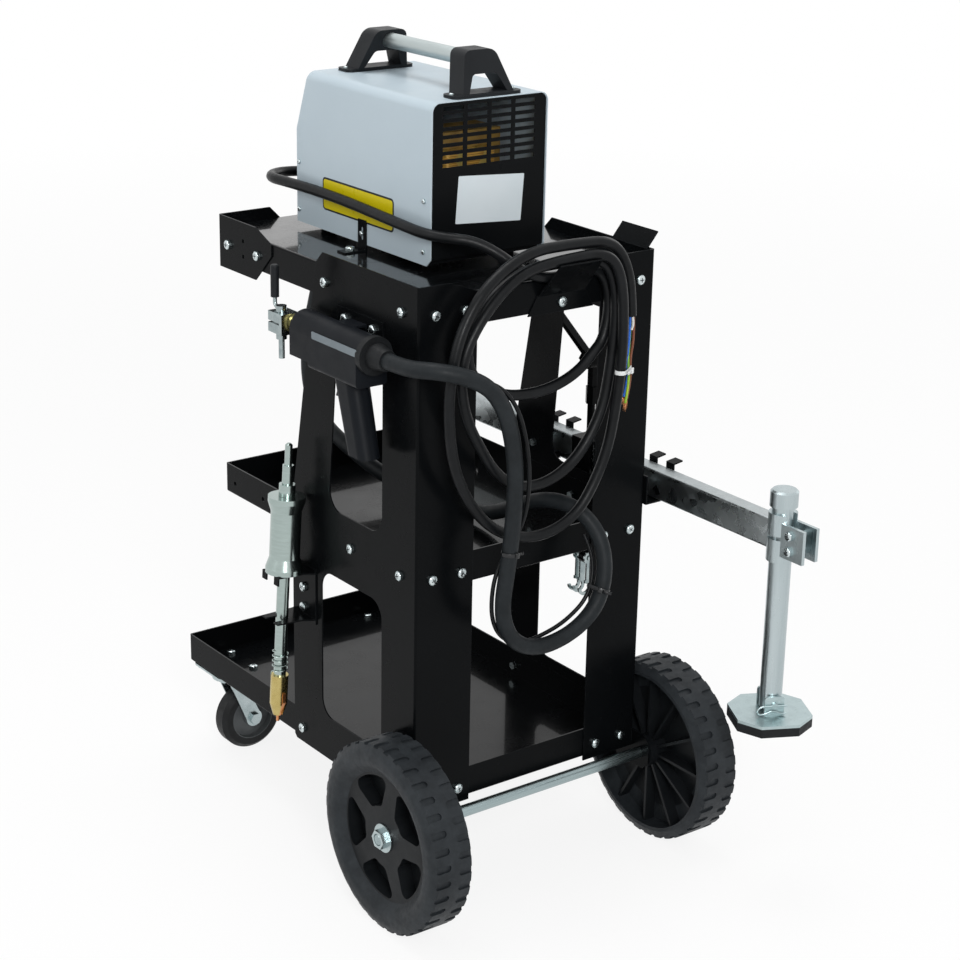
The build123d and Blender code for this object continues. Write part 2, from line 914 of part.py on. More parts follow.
def make_bolt(grip):
    # a bolt through sheets of the given thickness, its head above the plane
    with BuildPart() as bolt:
        with BuildSketch():
            RegularPolygon(bolt_head_radius, bolt_head_sides)
        extrude(amount=bolt_head_height)
        with BuildSketch():
            RegularPolygon(bolt_radius, bolt_shank_sides)
        extrude(amount=-grip)
        with BuildSketch(Plane.XY.offset(-grip)):
            RegularPolygon(nut_radius, bolt_shank_sides)
        extrude(amount=-nut_height)
    return bolt.part


leg_outside = leg_radius + running_gap + collar_wall
collar_low = beam_low - leg_collar_low
collar_high = beam_high + leg_collar_high
collar_face = collar_gap / 2 + collar_ear
collar_bolt_y = leg_y + collar_bolt_setback
collar_bolts_at = [
    (collar_bolt_y, (collar_low + collar_high + step * collar_bolt_pitch) / 2) for step in (-1, 1)
]
two_sheet_places = [
    Plane(origin=(side * x, 0, z), z_dir=(0, 1, 0)) for x, z in rear_bolts for side in (-1, 1)
]
two_sheet_places += [
    Plane(origin=(side * half, y, z), z_dir=(side, 0, 0)) for y, z in side_bolts for side in (-1, 1)
]
two_sheet_places += [
    Plane(origin=(side * half, y, top_bolt_z), z_dir=(side, 0, 0)) for y in guard_bolt_ys for side in (-1, 1)
]
two_sheet_places += [
    Plane(origin=(side * guard_front_bolt_x, guard_y, top_bolt_z), z_dir=(0, -1, 0)) for side in (-1, 1)
]
two_sheet_places += [
    Plane(origin=(half + sheet, y, z), z_dir=(1, 0, 0)) for y, z in bracket_bolts_at + hanger_bolts_at
]
two_sheet_places += [Plane(origin=(-half - sheet, y, z), z_dir=(-1, 0, 0)) for y, z in cradle_bolts_at]
two_sheet_places += [Plane(origin=hook_bolt_spot, z_dir=(0, 1, 0))]
two_sheet_places += [Plane(origin=Vector(*strap_bolt_spot) + Vector(0, 0, sheet), z_dir=(0, 0, 1))]
caster_places = [
    Plane(origin=(side * caster_swivel_x + x, -caster_swivel_depth + y, bottom_shelf_height + sheet))
    for x, y in caster_bolts_at
    for side in (-1, 1)
]
collar_places = [Plane(origin=(beam_x + collar_face, y, z), z_dir=(1, 0, 0)) for y, z in collar_bolts_at]
sheet_bolt = make_bolt(2 * sheet)
caster_bolt = make_bolt(sheet + caster_plate_thickness)
collar_bolt = make_bolt(2 * collar_face)
with BuildPart() as fasteners:
    with Locations(*two_sheet_places):
        add(sheet_bolt)
    with Locations(*caster_places):
        add(caster_bolt)
    with Locations(*collar_places):
        add(collar_bolt)
    for side in (-1, 1):
        with BuildSketch(Plane.YZ.offset(side * (half + washer_out))):
            with Locations((axle_y, axle_z)):
                RegularPolygon(axle_nut_radius, bolt_shank_sides)
                Circle(axle_radius, mode=Mode.SUBTRACT)
        extrude(amount=side * axle_nut_height)
        with BuildSketch(Plane.YZ.offset(side * (half + washer_out))):
            with Locations((axle_y, axle_z)):
                Circle(axle_washer_radius)
                Circle(axle_radius, mode=Mode.SUBTRACT)
        extrude(amount=-side * axle_washer_thickness)
save(fasteners, "fasteners")

# Rear wheels: a moulded rim with pockets outside and ribs inside, in a lugged tyre that is open at the back
tyre_in = wheel_gap
tyre_out = wheel_gap + tyre_width
web_in = hub_out - rim_web
band_inside = wheel_radius - tyre_band
pocket_rim = rim_radius - rim_pocket_margin
rib_middle = (hub_radius + band_inside) / 2


def rim_pocket():
    # the outline of one pocket between two spokes
    with BuildSketch() as pocket:
        with BuildLine():
            outer = CenterArc((0, 0), pocket_rim, -rim_pocket_span / 2, rim_pocket_span)
            inner = CenterArc((0, 0), rim_pocket_tip, -rim_pocket_tip_span / 2, rim_pocket_tip_span)
            Line(outer @ 0, inner @ 0)
            Line(outer @ 1, inner @ 1)
        make_face()
        fillet(pocket.vertices(), rim_pocket_corner)
    return pocket.sketch


def lug_slots(hub_plane, row_start, turn):
    # a ring of round-ended slots that open at one shoulder of the tyre
    floor = hub_plane.origin + hub_plane.x_dir * (wheel_radius - tread_depth)
    with BuildPart() as slot:
        with BuildSketch(Plane(floor, x_dir=hub_plane.z_dir, z_dir=hub_plane.x_dir)):
            with Locations((row_start, 0)):
                SlotOverall(2 * tread_slot, tread_gap)
        extrude(amount=2 * tread_depth)
    axle = Axis(hub_plane.origin, hub_plane.z_dir)
    return [slot.part.rotate(axle, turn + 360 * i / tread_count) for i in range(tread_count)]


def make_wheel(side):
    hub_plane = Plane(origin=(side * half, axle_y, axle_z), x_dir=(0, 0, 1), z_dir=(side, 0, 0))
    bore = axle_radius + running_gap
    rim_blank = turned(
        hub_plane,
        [
            (bore, hub_in),
            (hub_radius, hub_in),
            (hub_radius, web_in),
            (rim_radius, web_in),
            (rim_radius, hub_out),
            (bore, hub_out),
        ],
    )
    with BuildPart() as rim:
        add(rim_blank.part)
        with BuildSketch(hub_plane.offset(hub_out - rim_pocket_depth)):
            with PolarLocations(0, rim_pocket_count, start_angle=rim_pocket_turn):
                add(pocket_outline)
        extrude(amount=rim_pocket_depth, mode=Mode.SUBTRACT)
        with BuildSketch(hub_plane.offset(web_in - rim_rib_height)):
            with PolarLocations(rib_middle, rim_rib_count):
                Rectangle(band_inside - hub_radius + 2 * rim_rib_width, rim_rib_width)
            Circle(band_inside - seat_gap, mode=Mode.INTERSECT)
        extrude(amount=rim_rib_height)
    tyre_blank = turned(
        hub_plane,
        [
            (band_inside, web_in),
            (band_inside, tyre_in),
            (wheel_radius - 2 * tyre_shoulder, tyre_in),
            (wheel_radius, tyre_in + tyre_shoulder),
            (wheel_radius, tyre_out - tyre_shoulder),
            (wheel_radius - 2 * tyre_shoulder, tyre_out),
            (rim_radius + tyre_slope, tyre_out),
            (rim_radius, hub_out),
            (rim_radius, web_in),
        ],
    )
    with BuildPart() as tyre:
        add(tyre_blank.part)
        wall_edges = tyre.edges().group_by(Axis((0, 0, 0), hub_plane.z_dir))[-1]
        fillet(wall_edges, tyre_round)
        add(lug_slots(hub_plane, tyre_in, 0), mode=Mode.SUBTRACT)
        add(lug_slots(hub_plane, tyre_out, 180 / tread_count), mode=Mode.SUBTRACT)
    return rim, tyre


pocket_outline = rim_pocket()
for side, place in ((1, "gun_side"), (-1, "beam_side")):
    rim, tyre = make_wheel(side)
    save(rim, f"wheel_rim_{place}")
    save(tyre, f"tyre_{place}")

# Casters: a fixed plate with its kingpin, a swivelling fork and a wheel
plate_low = bottom_shelf_height - caster_plate_thickness
head_high = plate_low - clearance
head_low = head_high - fork_head_height
with BuildPart() as caster_plates:
    for side in (-1, 1):
        with BuildSketch(Plane.XY.offset(plate_low)):
            with Locations((side * caster_swivel_x, -caster_swivel_depth)):
                RectangleRounded(caster_plate_width, caster_plate_length, caster_bolt_margin)
                with Locations(*caster_bolts_at):
                    Circle(bolt_hole, mode=Mode.SUBTRACT)
        extrude(amount=caster_plate_thickness)
        with BuildSketch(Plane.XY.offset(plate_low)):
            with Locations((side * caster_swivel_x, -caster_swivel_depth)):
                Circle(kingpin_radius)
        extrude(amount=-fork_head_height)
save(caster_plates, "caster_plates")

cheek_in = caster_wheel_width / 2 + fork_gap
cheek_out = cheek_in + fork_cheek
cheek_top = head_low + fork_overlap - caster_wheel_radius


def make_caster(side):
    swivel_x = side * caster_swivel_x
    wheel_x = swivel_x - side * caster_trail
    wheel_plane = Plane(
        origin=(wheel_x, -caster_swivel_depth, caster_wheel_radius), x_dir=(1, 0, 0), z_dir=(0, -1, 0)
    )
    with BuildPart() as fork:
        with BuildSketch(Plane.XY.offset(head_low)):
            with Locations((swivel_x, -caster_swivel_depth)):
                Circle(fork_head_radius)
        extrude(amount=fork_head_height)
        for way in (-1, 1):
            cheek_face = min(way * cheek_in, way * cheek_out)
            with BuildSketch(wheel_plane.offset(cheek_face)):
                Circle(caster_hub_radius)
                with BuildLine():
                    Polyline(
                        (-side * caster_hub_radius, 0),
                        (side * (caster_trail - fork_head_radius / 2), cheek_top),
                        (side * (caster_trail + fork_head_radius / 2), cheek_top),
                        (side * caster_hub_radius, 0),
                        close=True,
                    )
                make_face()
            extrude(amount=fork_cheek)
        with BuildSketch(wheel_plane.offset(-cheek_out - caster_nut_height)):
            Circle(caster_axle_radius)
        extrude(amount=2 * (cheek_out + caster_nut_height))
        for way in (-1, 1):
            with BuildSketch(wheel_plane.offset(way * cheek_out)):
                RegularPolygon(caster_nut_radius, bolt_shank_sides)
            extrude(amount=way * caster_nut_height)
        swivel_spot = (swivel_x, -caster_swivel_depth, head_low)
        drill([swivel_spot], (0, 0, 1), kingpin_radius + running_gap, fork_head_height)
    half_wheel = caster_wheel_width / 2
    bore = caster_axle_radius + running_gap
    wheel = turned(
        wheel_plane,
        [
            (bore, -half_wheel),
            (caster_hub_radius, -half_wheel),
            (caster_hub_radius, -caster_web / 2),
            (caster_rim_radius, -caster_web / 2),
            (caster_rim_radius, -half_wheel),
            (caster_wheel_radius - tyre_shoulder, -half_wheel),
            (caster_wheel_radius, -half_wheel + tyre_shoulder),
            (caster_wheel_radius, half_wheel - tyre_shoulder),
            (caster_wheel_radius - tyre_shoulder, half_wheel),
            (caster_rim_radius, half_wheel),
            (caster_rim_radius, caster_web / 2),
            (caster_hub_radius, caster_web / 2),
            (caster_hub_radius, half_wheel),
            (bore, half_wheel),
        ],
    )
    return fork, wheel


for side, place in ((1, "gun_side"), (-1, "beam_side")):
    fork, wheel = make_caster(side)
    save(fork, f"caster_fork_{place}")
    save(wheel, f"caster_wheel_{place}")

# Welder case: a folded cover over a base pan, closed by a front and a rear panel
case_half = machine_width / 2
case_low = deck_height + machine_foot
case_top = case_low + machine_height
case_outline = [
    (-machine_front, case_low),
    (-machine_front, case_low + front_kink),
    (-machine_front + front_lean, case_top),
    (-machine_back, case_top),
    (-machine_back, case_low + rear_cut),
    (-machine_back - rear_cut, case_low),
]


def case_block(inset):
    # the case's whole volume, drawn in by the inset on every side
    with BuildPart() as block:
        with BuildSketch(Plane.YZ.offset(machine_x - case_half + inset)):
            with BuildLine():
                Polyline(*case_outline, close=True)
            make_face()
            if inset:
                offset(amount=-inset, kind=Kind.INTERSECTION)
        extrude(amount=2 * (case_half - inset))
        top_edges = block.edges().filter_by(Axis.Y).group_by(Axis.Z)[-1]
        fillet(top_edges, cover_corner - inset)
    return block


def is_open_face(face):
    # the cover is open at the front, the back and underneath
    normal = face.normal_at()
    return abs(normal.X) < touch and (abs(normal.Y) > touch or normal.Z < 0)


def screw_places(side, extra):
    # screws down the front and rear edges of a cover side, as planes facing out
    places = []
    for depth in (machine_front - screw_inset, machine_back + screw_inset + extra):
        for row in range(screw_rows):
            z = case_low + screw_low + row * screw_row_pitch
            if depth < machine_front - screw_inset or z < case_low + front_kink:
                places.append(Plane(origin=(machine_x + side * case_half, -depth, z), z_dir=(side, 0, 0)))
    return places


cover_screws = screw_places(1, rear_cut) + screw_places(-1, rear_cut)
handle_ys = (-handle_front - handle_lean, -handle_back + handle_lean)
handle_screw_x = handle_flange_width / 2 - screw_inset
handle_screws = [
    Plane(origin=(machine_x + step * handle_screw_x, y, case_top + handle_flange_height))
    for y in handle_ys
    for step in (-1, 1)
]
strap_screw = Plane(origin=(case_side + sheet, strap_y, strap_slot_z), z_dir=(1, 0, 0))
screw_hole = screw_radius + seat_gap
cover_blank = case_block(0)
with BuildPart() as machine_cover:
    add(cover_blank.part)
    offset(amount=-cover_sheet, openings=machine_cover.faces().filter_by(is_open_face))
    with Locations(*cover_screws, *handle_screws, strap_screw):
        Cylinder(screw_hole, 2 * screw_length, mode=Mode.SUBTRACT)
save(machine_cover, "machine_cover")

# Base pan with pressed feet
pan_half = case_half - cover_sheet - seat_gap
pan_front = machine_front - panel_recess - case_panel - seat_gap
pan_back = machine_back + panel_recess + case_panel + rear_cut
with BuildPart() as machine_base:
    with BuildSketch(Plane.XY.offset(case_low)):
        with Locations((machine_x, -(pan_front + pan_back) / 2)):
            Rectangle(2 * pan_half, pan_front - pan_back)
    extrude(amount=base_wall)
    offset(amount=-base_sheet, openings=machine_base.faces().sort_by(Axis.Z)[-1])
    with BuildSketch(Plane.XY.offset(case_low)):
        with Locations((machine_x, -(pan_front + pan_back) / 2)):
            with GridLocations(
                2 * (pan_half - machine_foot_inset), pan_front - pan_back - 2 * machine_foot_inset, 2, 2
            ):
                Circle(machine_foot_radius)
    extrude(amount=-machine_foot, taper=machine_foot)
    with Locations(*cover_screws, strap_screw):
        Cylinder(screw_hole, 2 * screw_length, mode=Mode.SUBTRACT)
save(machine_base, "machine_base")

# Front panel, kinked like the case, with holes for the controls and the glands
room = case_block(cover_sheet + seat_gap)
front_face = -machine_front + panel_recess
control_z = case_low + knob_rise
switch_spot = (machine_x + switch_x, front_face, control_z)
setting_spot = (machine_x + setting_x, front_face, control_z)
mains_gland_spot = (machine_x + mains_gland_x, front_face, case_low + mains_gland_rise)
gun_gland_spot = (machine_x + gun_gland_x, front_face, case_low + gun_gland_rise)
board_low = case_low + board_rise
board_spot = (machine_x, front_face + case_panel + board_standoff, board_low + board_height / 2)
with BuildPart() as front_panel:
    with BuildSketch(Plane.YZ.offset(machine_x - case_half)):
        with BuildLine():
            Polyline(
                (front_face, case_low),
                (front_face, case_low + front_kink),
                (front_face + front_lean, case_top),
                (front_face + front_lean + case_panel, case_top),
                (front_face + case_panel, case_low + front_kink),
                (front_face + case_panel, case_low),
                close=True,
            )
        make_face()
    extrude(amount=machine_width)
    add(room.part, mode=Mode.INTERSECT)
    drill([switch_spot, setting_spot], (0, 1, 0), knob_shaft_radius + running_gap, 2 * case_panel)
    drill([mains_gland_spot, gun_gland_spot], (0, 1, 0), gland_radius + seat_gap, 2 * case_panel)
save(front_panel, "front_panel")

# Rear panel with rows of vents
rear_face = -machine_back - panel_recess
vent_middle = case_top - vent_top_drop
with BuildPart() as rear_panel:
    with BuildSketch(Plane.XZ.offset(-rear_face)):
        with Locations((machine_x, (case_low + case_top) / 2)):
            Rectangle(machine_width, machine_height)
        with Locations((machine_x, vent_middle)):
            with GridLocations(vent_column_pitch, vent_pitch, vent_columns, vent_rows):
                Rectangle(vent_length, vent_height, mode=Mode.SUBTRACT)
    extrude(amount=case_panel)
    add(room.part, mode=Mode.INTERSECT)
save(rear_panel, "rear_panel")

# Carrying handle: two moulded supports with a tube between them
handle_axis_z = case_top + handle_tube_rise
handle_rake = sqrt(handle_lean**2 + handle_height**2) / handle_height
with BuildPart() as handle_supports:
    for handle_y, way in zip(handle_ys, (1, -1)):
        support_plane = Plane(
            origin=(machine_x, handle_y - handle_depth / 2, case_top),
            x_dir=(1, 0, 0),
            z_dir=(0, -handle_height, way * handle_lean),
        )
        with BuildSketch(support_plane):
            with BuildLine():
                FilletPolyline(
                    (-handle_base_width / 2, 0),
                    (-handle_top_width / 2, handle_height * handle_rake),
                    (handle_top_width / 2, handle_height * handle_rake),
                    (handle_base_width / 2, 0),
                    radius=handle_shoulder,
                )
                Line((handle_base_width / 2, 0), (-handle_base_width / 2, 0))
            make_face()
            with BuildLine():
                FilletPolyline(
                    (-handle_window_width / 2, handle_window_low * handle_rake),
                    (-handle_window_top_width / 2, handle_window_high * handle_rake),
                    (handle_window_top_width / 2, handle_window_high * handle_rake),
                    (handle_window_width / 2, handle_window_low * handle_rake),
                    radius=handle_window_round,
                )
                Line(
                    (handle_window_width / 2, handle_window_low * handle_rake),
                    (-handle_window_width / 2, handle_window_low * handle_rake),
                )
            make_face(mode=Mode.SUBTRACT)
        extrude(amount=handle_depth, dir=(0, 1, 0))
        with BuildSketch(Plane.XY.offset(case_top)):
            with Locations((machine_x, handle_y)):
                RectangleRounded(handle_flange_width, handle_depth, handle_round)
        extrude(amount=handle_flange_height)
    with BuildSketch(Plane.XZ.offset(handle_back + handle_depth / 2 - handle_socket)):
        with Locations((machine_x, handle_axis_z)):
            Circle(handle_tube_radius + seat_gap)
    extrude(amount=handle_front - handle_back - handle_depth + 2 * handle_socket, mode=Mode.SUBTRACT)
    with Locations(*handle_screws):
        Cylinder(screw_hole, 2 * screw_length, mode=Mode.SUBTRACT)
save(handle_supports, "handle_supports")

with BuildPart() as handle_tube:
    with BuildSketch(Plane.XZ.offset(handle_back + handle_depth / 2 - handle_socket)):
        with Locations((machine_x, handle_axis_z)):
            Circle(handle_tube_radius)
            Circle(handle_tube_radius - handle_tube_wall, mode=Mode.SUBTRACT)
    extrude(amount=handle_front - handle_back - handle_depth + 2 * handle_socket)
save(handle_tube, "handle_tube")

# Welding transformer: a shell core standing on the pan, with its winding round the middle limb
pan_floor = case_low + base_sheet
core_window_width = (core_width - 4 * core_limb) / 2
core_window_height = core_height - 2 * core_limb
with BuildPart() as transformer_core:
    with BuildSketch(Plane.XZ.offset(-core_y - core_depth / 2)):
        with Locations((machine_x, pan_floor + core_height / 2)):
            Rectangle(core_width, core_height)
            with GridLocations(core_window_width + 2 * core_limb, 0, 2, 1):
                Rectangle(core_window_width, core_window_height, mode=Mode.SUBTRACT)
    extrude(amount=core_depth)
save(transformer_core, "transformer_core")

winding_low = pan_floor + core_limb + winding_gap
with BuildPart() as transformer_windings:
    with BuildSketch(Plane.XY.offset(winding_low)):
        with Locations((machine_x, core_y)):
            RectangleRounded(
                2 * (core_limb + core_window_width - winding_gap),
                core_depth + 2 * winding_proud,
                core_limb / 2,
            )
            Rectangle(2 * (core_limb + winding_gap), core_depth + 2 * winding_gap, mode=Mode.SUBTRACT)
    extrude(amount=core_window_height - 2 * winding_gap)
save(transformer_windings, "transformer_windings")

# Control board on four posts behind the front panel
with BuildPart() as control_board:
    with BuildSketch(Plane.XZ.offset(-board_spot[1])):
        with Locations((machine_x, board_spot[2])):
            Rectangle(board_width, board_height)
    extrude(amount=-board_thickness)
    with BuildSketch(Plane.XZ.offset(-board_spot[1])):
        with Locations((machine_x, board_spot[2])):
            with GridLocations(board_width - 2 * board_post_inset, board_height - 2 * board_post_inset, 2, 2):
                Circle(board_post_radius)
    extrude(amount=board_standoff)
save(control_board, "control_board")

# Small screws of the case
with BuildPart() as screw:
    with BuildSketch():
        RegularPolygon(screw_head_radius, bolt_head_sides)
    extrude(amount=screw_head_height)
    with BuildSketch():
        RegularPolygon(screw_radius, bolt_shank_sides)
    extrude(amount=-screw_length)
with BuildPart() as machine_screws:
    with Locations(*cover_screws, *handle_screws, strap_screw):
        add(screw.part)
save(machine_screws, "machine_screws")


def make_knob(spot):
    # a knob with a finger ridge, its shaft held by a collar behind the panel
    knob_plane = Plane(origin=spot, x_dir=(1, 0, 0), z_dir=(0, -1, 0))
    behind = -case_panel - clearance
    blank = turned(
        knob_plane,
        [
            (0, behind - knob_collar),
            (knob_collar_radius, behind - knob_collar),
            (knob_collar_radius, behind),
            (knob_shaft_radius, behind),
            (knob_shaft_radius, clearance),
            (knob_radius, clearance),
            (knob_radius, knob_height / 2),
            (0, knob_height / 2),
        ],
    )
    with BuildPart() as knob:
        add(blank.part)
        with BuildSketch(knob_plane):
            SlotOverall(2 * knob_radius, knob_grip, rotation=90)
        extrude(amount=knob_height - clearance)
        with BuildSketch(knob_plane):
            Circle(knob_radius)
        extrude(amount=clearance, mode=Mode.SUBTRACT)
        with BuildSketch(knob_plane):
            Circle(knob_shaft_radius)
        extrude(amount=2 * clearance)
    return knob


power_switch = make_knob(switch_spot)
save(power_switch, "power_switch")
setting_knob = make_knob(setting_spot)
save(setting_knob, "setting_knob")


def make_gland(spot, cord_diameter):
    # a gland through the panel, held by a nut inside and tapering down to its cord
    gland_plane = Plane(origin=spot, x_dir=(1, 0, 0), z_dir=(0, -1, 0))
    return turned(
        gland_plane,
        [
            (0, -case_panel - gland_nut),
            (gland_flange_radius, -case_panel - gland_nut),
            (gland_flange_radius, -case_panel),
            (gland_radius, -case_panel),
            (gland_radius, 0),
            (gland_flange_radius, 0),
            (gland_flange_radius, gland_flange),
            (cord_diameter / 2 + sheet, gland_length),
            (0, gland_length),
        ],
    )


mains_gland = make_gland(mains_gland_spot, mains_diameter)
gun_gland = make_gland(gun_gland_spot, gun_cord_diameter)
with BuildPart() as cable_glands:
    add([mains_gland.part, gun_gland.part])
save(cable_glands, "cable_glands")

# Gun: a moulded housing with a raked grip and a clip that hooks over the hanger's rail
gun_x = half + gun_standoff
gun_z = deck_height - gun_axis_drop
gun_front = gun_back + gun_length
gun_belly_low = gun_z - gun_belly
grip_top_z = gun_z - grip_top_drop
grip_low_z = grip_top_z - grip_height
grip_top_y = -gun_back - grip_top_setback
grip_low_y = grip_top_y + grip_rake
clip_in = half + sheet + (hanger_gap - clip_thickness) / 2
clip_top = rail_low + hanger_lip + clearance
trigger_z = gun_z - trigger_drop
grip_front_at_trigger = grip_top_y - grip_top_length / 2 + grip_rake * (grip_top_z - trigger_z) / grip_height
trigger_front = grip_front_at_trigger - trigger_proud
trigger_back = trigger_front + trigger_length
pocket_back = trigger_back + trigger_travel + clearance
with BuildPart() as gun_housing:
    with BuildSketch(Plane.XZ.offset(gun_back)):
        with Locations((gun_x, gun_z)):
            Circle(gun_radius)
        with Locations((gun_x, gun_z - gun_belly / 2)):
            Rectangle(2 * gun_radius, gun_belly)
    extrude(amount=gun_length)
    with BuildSketch(Plane.XZ.offset(gun_back)):
        with Locations((gun_x, gun_belly_low)):
            Rectangle(2 * gun_radius, 2 * gun_skirt_drop)
    extrude(amount=gun_skirt_length)
    belly_edges = gun_housing.edges().filter_by(Axis.Y).group_by(Axis.Z)[0]
    fillet(belly_edges, gun_belly_corner)
    with BuildSketch(Plane.XY.offset(grip_top_z)):
        with Locations((gun_x, grip_top_y)):
            RectangleRounded(grip_top_width, grip_top_length, grip_corner)
    with BuildSketch(Plane.XY.offset(grip_low_z)):
        with Locations((gun_x, grip_low_y)):
            RectangleRounded(grip_low_width, grip_low_length, grip_corner)
    loft()
    with BuildSketch(Plane.XZ.offset(-hanger_y - clip_width / 2)):
        with BuildLine():
            Polyline(
                (clip_in, clip_top + clip_bridge),
                (gun_x, clip_top + clip_bridge),
                (gun_x, clip_top),
                (clip_in + clip_thickness, clip_top),
                (clip_in + clip_thickness, clip_top - clip_depth),
                (clip_in, clip_top - clip_depth),
                close=True,
            )
        make_face()
    extrude(amount=clip_width)
    with BuildSketch(Plane.XZ.offset(-pocket_back)):
        with Locations((gun_x, trigger_z)):
            Rectangle(trigger_width + 2 * clearance, trigger_height + 2 * clearance)
    extrude(amount=pocket_back - trigger_front, mode=Mode.SUBTRACT)
save(gun_housing, "gun_housing")

# Trigger: a curved finger piece that slides back into the grip
with BuildPart() as gun_trigger:
    with BuildSketch(Plane.YZ.offset(gun_x - trigger_width / 2)):
        with BuildLine():
            ThreePointArc(
                (trigger_front, trigger_z - trigger_height / 2),
                (trigger_front + trigger_proud / 3, trigger_z),
                (trigger_front, trigger_z + trigger_height / 2),
            )
            Polyline(
                (trigger_front, trigger_z + trigger_height / 2),
                (trigger_back, trigger_z + trigger_height / 2),
                (trigger_back, trigger_z - trigger_height / 2),
                (trigger_front, trigger_z - trigger_height / 2),
            )
        make_face()
    extrude(amount=trigger_width)
save(gun_trigger, "gun_trigger")

# Rear bush round the cord, and the collar and clamp at the nose
nose_plane = Plane(origin=(gun_x, -gun_front, gun_z), x_dir=(1, 0, 0), z_dir=(0, -1, 0))
tail_plane = Plane(origin=(gun_x, -gun_back, gun_z), x_dir=(1, 0, 0), z_dir=(0, 1, 0))
gun_rear_bush = turned(
    tail_plane,
    [
        (0, 0),
        (bush_radius, 0),
        (bush_radius, bush_flange),
        (bush_neck_radius, bush_flange),
        (bush_tip_radius, bush_length),
        (0, bush_length),
    ],
)
save(gun_rear_bush, "gun_rear_bush")

gun_collar = turned(
    nose_plane,
    [
        (0, 0),
        (collar_radius, 0),
        (collar_radius, collar_length / 3),
        (collar_radius - collar_groove, collar_length / 2),
        (collar_radius, 2 * collar_length / 3),
        (collar_radius, collar_length),
        (0, collar_length),
    ],
)
save(gun_collar, "gun_collar")

clamp_plane = nose_plane.offset(collar_length)
clamp_screw_y = -gun_front - collar_length - clamp_length / 2
clamp_screw_x = gun_x + clamp_screw_out
with BuildPart() as gun_clamp:
    with BuildSketch(clamp_plane):
        Circle(clamp_radius)
        with Locations((clamp_ear / 2, 0)):
            Rectangle(clamp_ear, clamp_ear_height)
    extrude(amount=clamp_length)
    with BuildSketch(clamp_plane.offset(clamp_length)):
        Circle(electrode_radius)
        with Locations((clamp_ear / 2, 0)):
            Rectangle(clamp_ear, clamp_slit)
    extrude(amount=-electrode_depth, mode=Mode.SUBTRACT)
    clamp_screw_spot = (clamp_screw_x, clamp_screw_y, gun_z)
    drill([clamp_screw_spot], (0, 0, 1), clamp_screw_radius + running_gap, clamp_ear_height)
save(gun_clamp, "gun_clamp")

# Clamp lever: a screw through the clamp's ears with a cranked rod and a grip
ear_half = clamp_ear_height / 2
screw_base = Plane(origin=(clamp_screw_x, clamp_screw_y, gun_z), x_dir=(1, 0, 0), z_dir=(0, 0, 1))
screw_top = ear_half + clearance + clamp_screw_head
lever_blank = turned(
    screw_base,
    [
        (0, -ear_half - clamp_screw_tail),
        (clamp_screw_radius, -ear_half - clamp_screw_tail),
        (clamp_screw_radius, -ear_half - clearance - clamp_screw_head),
        (clamp_screw_head_radius, -ear_half - clearance - clamp_screw_head),
        (clamp_screw_head_radius, -ear_half - clearance),
        (clamp_screw_radius, -ear_half - clearance),
        (clamp_screw_radius, ear_half + clearance),
        (clamp_screw_head_radius, ear_half + clearance),
        (clamp_screw_head_radius, screw_top),
        (0, screw_top),
    ],
)
lever_base_z = gun_z + screw_top - clamp_screw_head / 2
lever_y = clamp_screw_y - lever_reach
grip_base_z = lever_base_z + lever_rise
with BuildPart() as clamp_lever:
    add(lever_blank.part)
    with BuildLine() as lever_route:
        FilletPolyline(
            (clamp_screw_x, clamp_screw_y, lever_base_z),
            (clamp_screw_x, lever_y, lever_base_z),
            (clamp_screw_x, lever_y, grip_base_z + lever_socket),
            radius=2 * lever_radius,
        )
    with BuildSketch(Plane(origin=(clamp_screw_x, clamp_screw_y, lever_base_z), z_dir=(0, -1, 0))):
        Circle(lever_radius)
    sweep(path=lever_route.wire())
save(clamp_lever, "clamp_lever")

with BuildPart() as lever_grip:
    with BuildSketch(Plane.XY.offset(grip_base_z)):
        with Locations((clamp_screw_x, lever_y)):
            Circle(lever_grip_radius)
    extrude(amount=lever_grip_length)
    fillet(lever_grip.edges().group_by(Axis.Z)[-1], lever_grip_radius / 2)
    drill([(clamp_screw_x, lever_y, grip_base_z)], (0, 0, 1), lever_radius + running_gap, lever_socket)
save(lever_grip, "lever_grip")

# Slide hammer: a weight that stays on the fork and a rod that slides through it
weight_bore = rod_radius + running_gap
hammer_weight = turned(
    hammer_plane,
    [
        (weight_bore, 0),
        (weight_radius, 0),
        (weight_radius, weight_flange),
        (weight_waist, weight_flange + weight_taper),
        (weight_waist, weight_length - weight_flange - weight_taper),
        (weight_radius, weight_length - weight_flange),
        (weight_radius, weight_length),
        (weight_bore, weight_length),
    ],
)
save(hammer_weight, "hammer_weight")

rod_shoulder = weight_length + clearance
rod_top = rod_shoulder + rod_top_length
rod_end = rod_top + rod_tip_length
hammer_rod = turned(
    hammer_plane,
    [
        (0, -rod_drop - rod_socket),
        (rod_radius, -rod_drop - rod_socket),
        (rod_radius, rod_shoulder),
        (rod_top_radius, rod_shoulder),
        (rod_top_radius, rod_top),
        (rod_tip_radius, rod_top),
        (rod_tip_radius, rod_end - rod_tip_radius / 2),
        (rod_tip_radius / 2, rod_end),
        (0, rod_end),
    ],
)
save(hammer_rod, "hammer_rod")

stop_collar = turned(
    hammer_plane,
    [
        (rod_top_radius + running_gap, rod_shoulder),
        (stop_radius, rod_shoulder),
        (stop_radius, rod_shoulder + stop_length),
        (rod_top_radius + running_gap, rod_shoulder + stop_length),
    ],
)
save(stop_collar, "stop_collar")

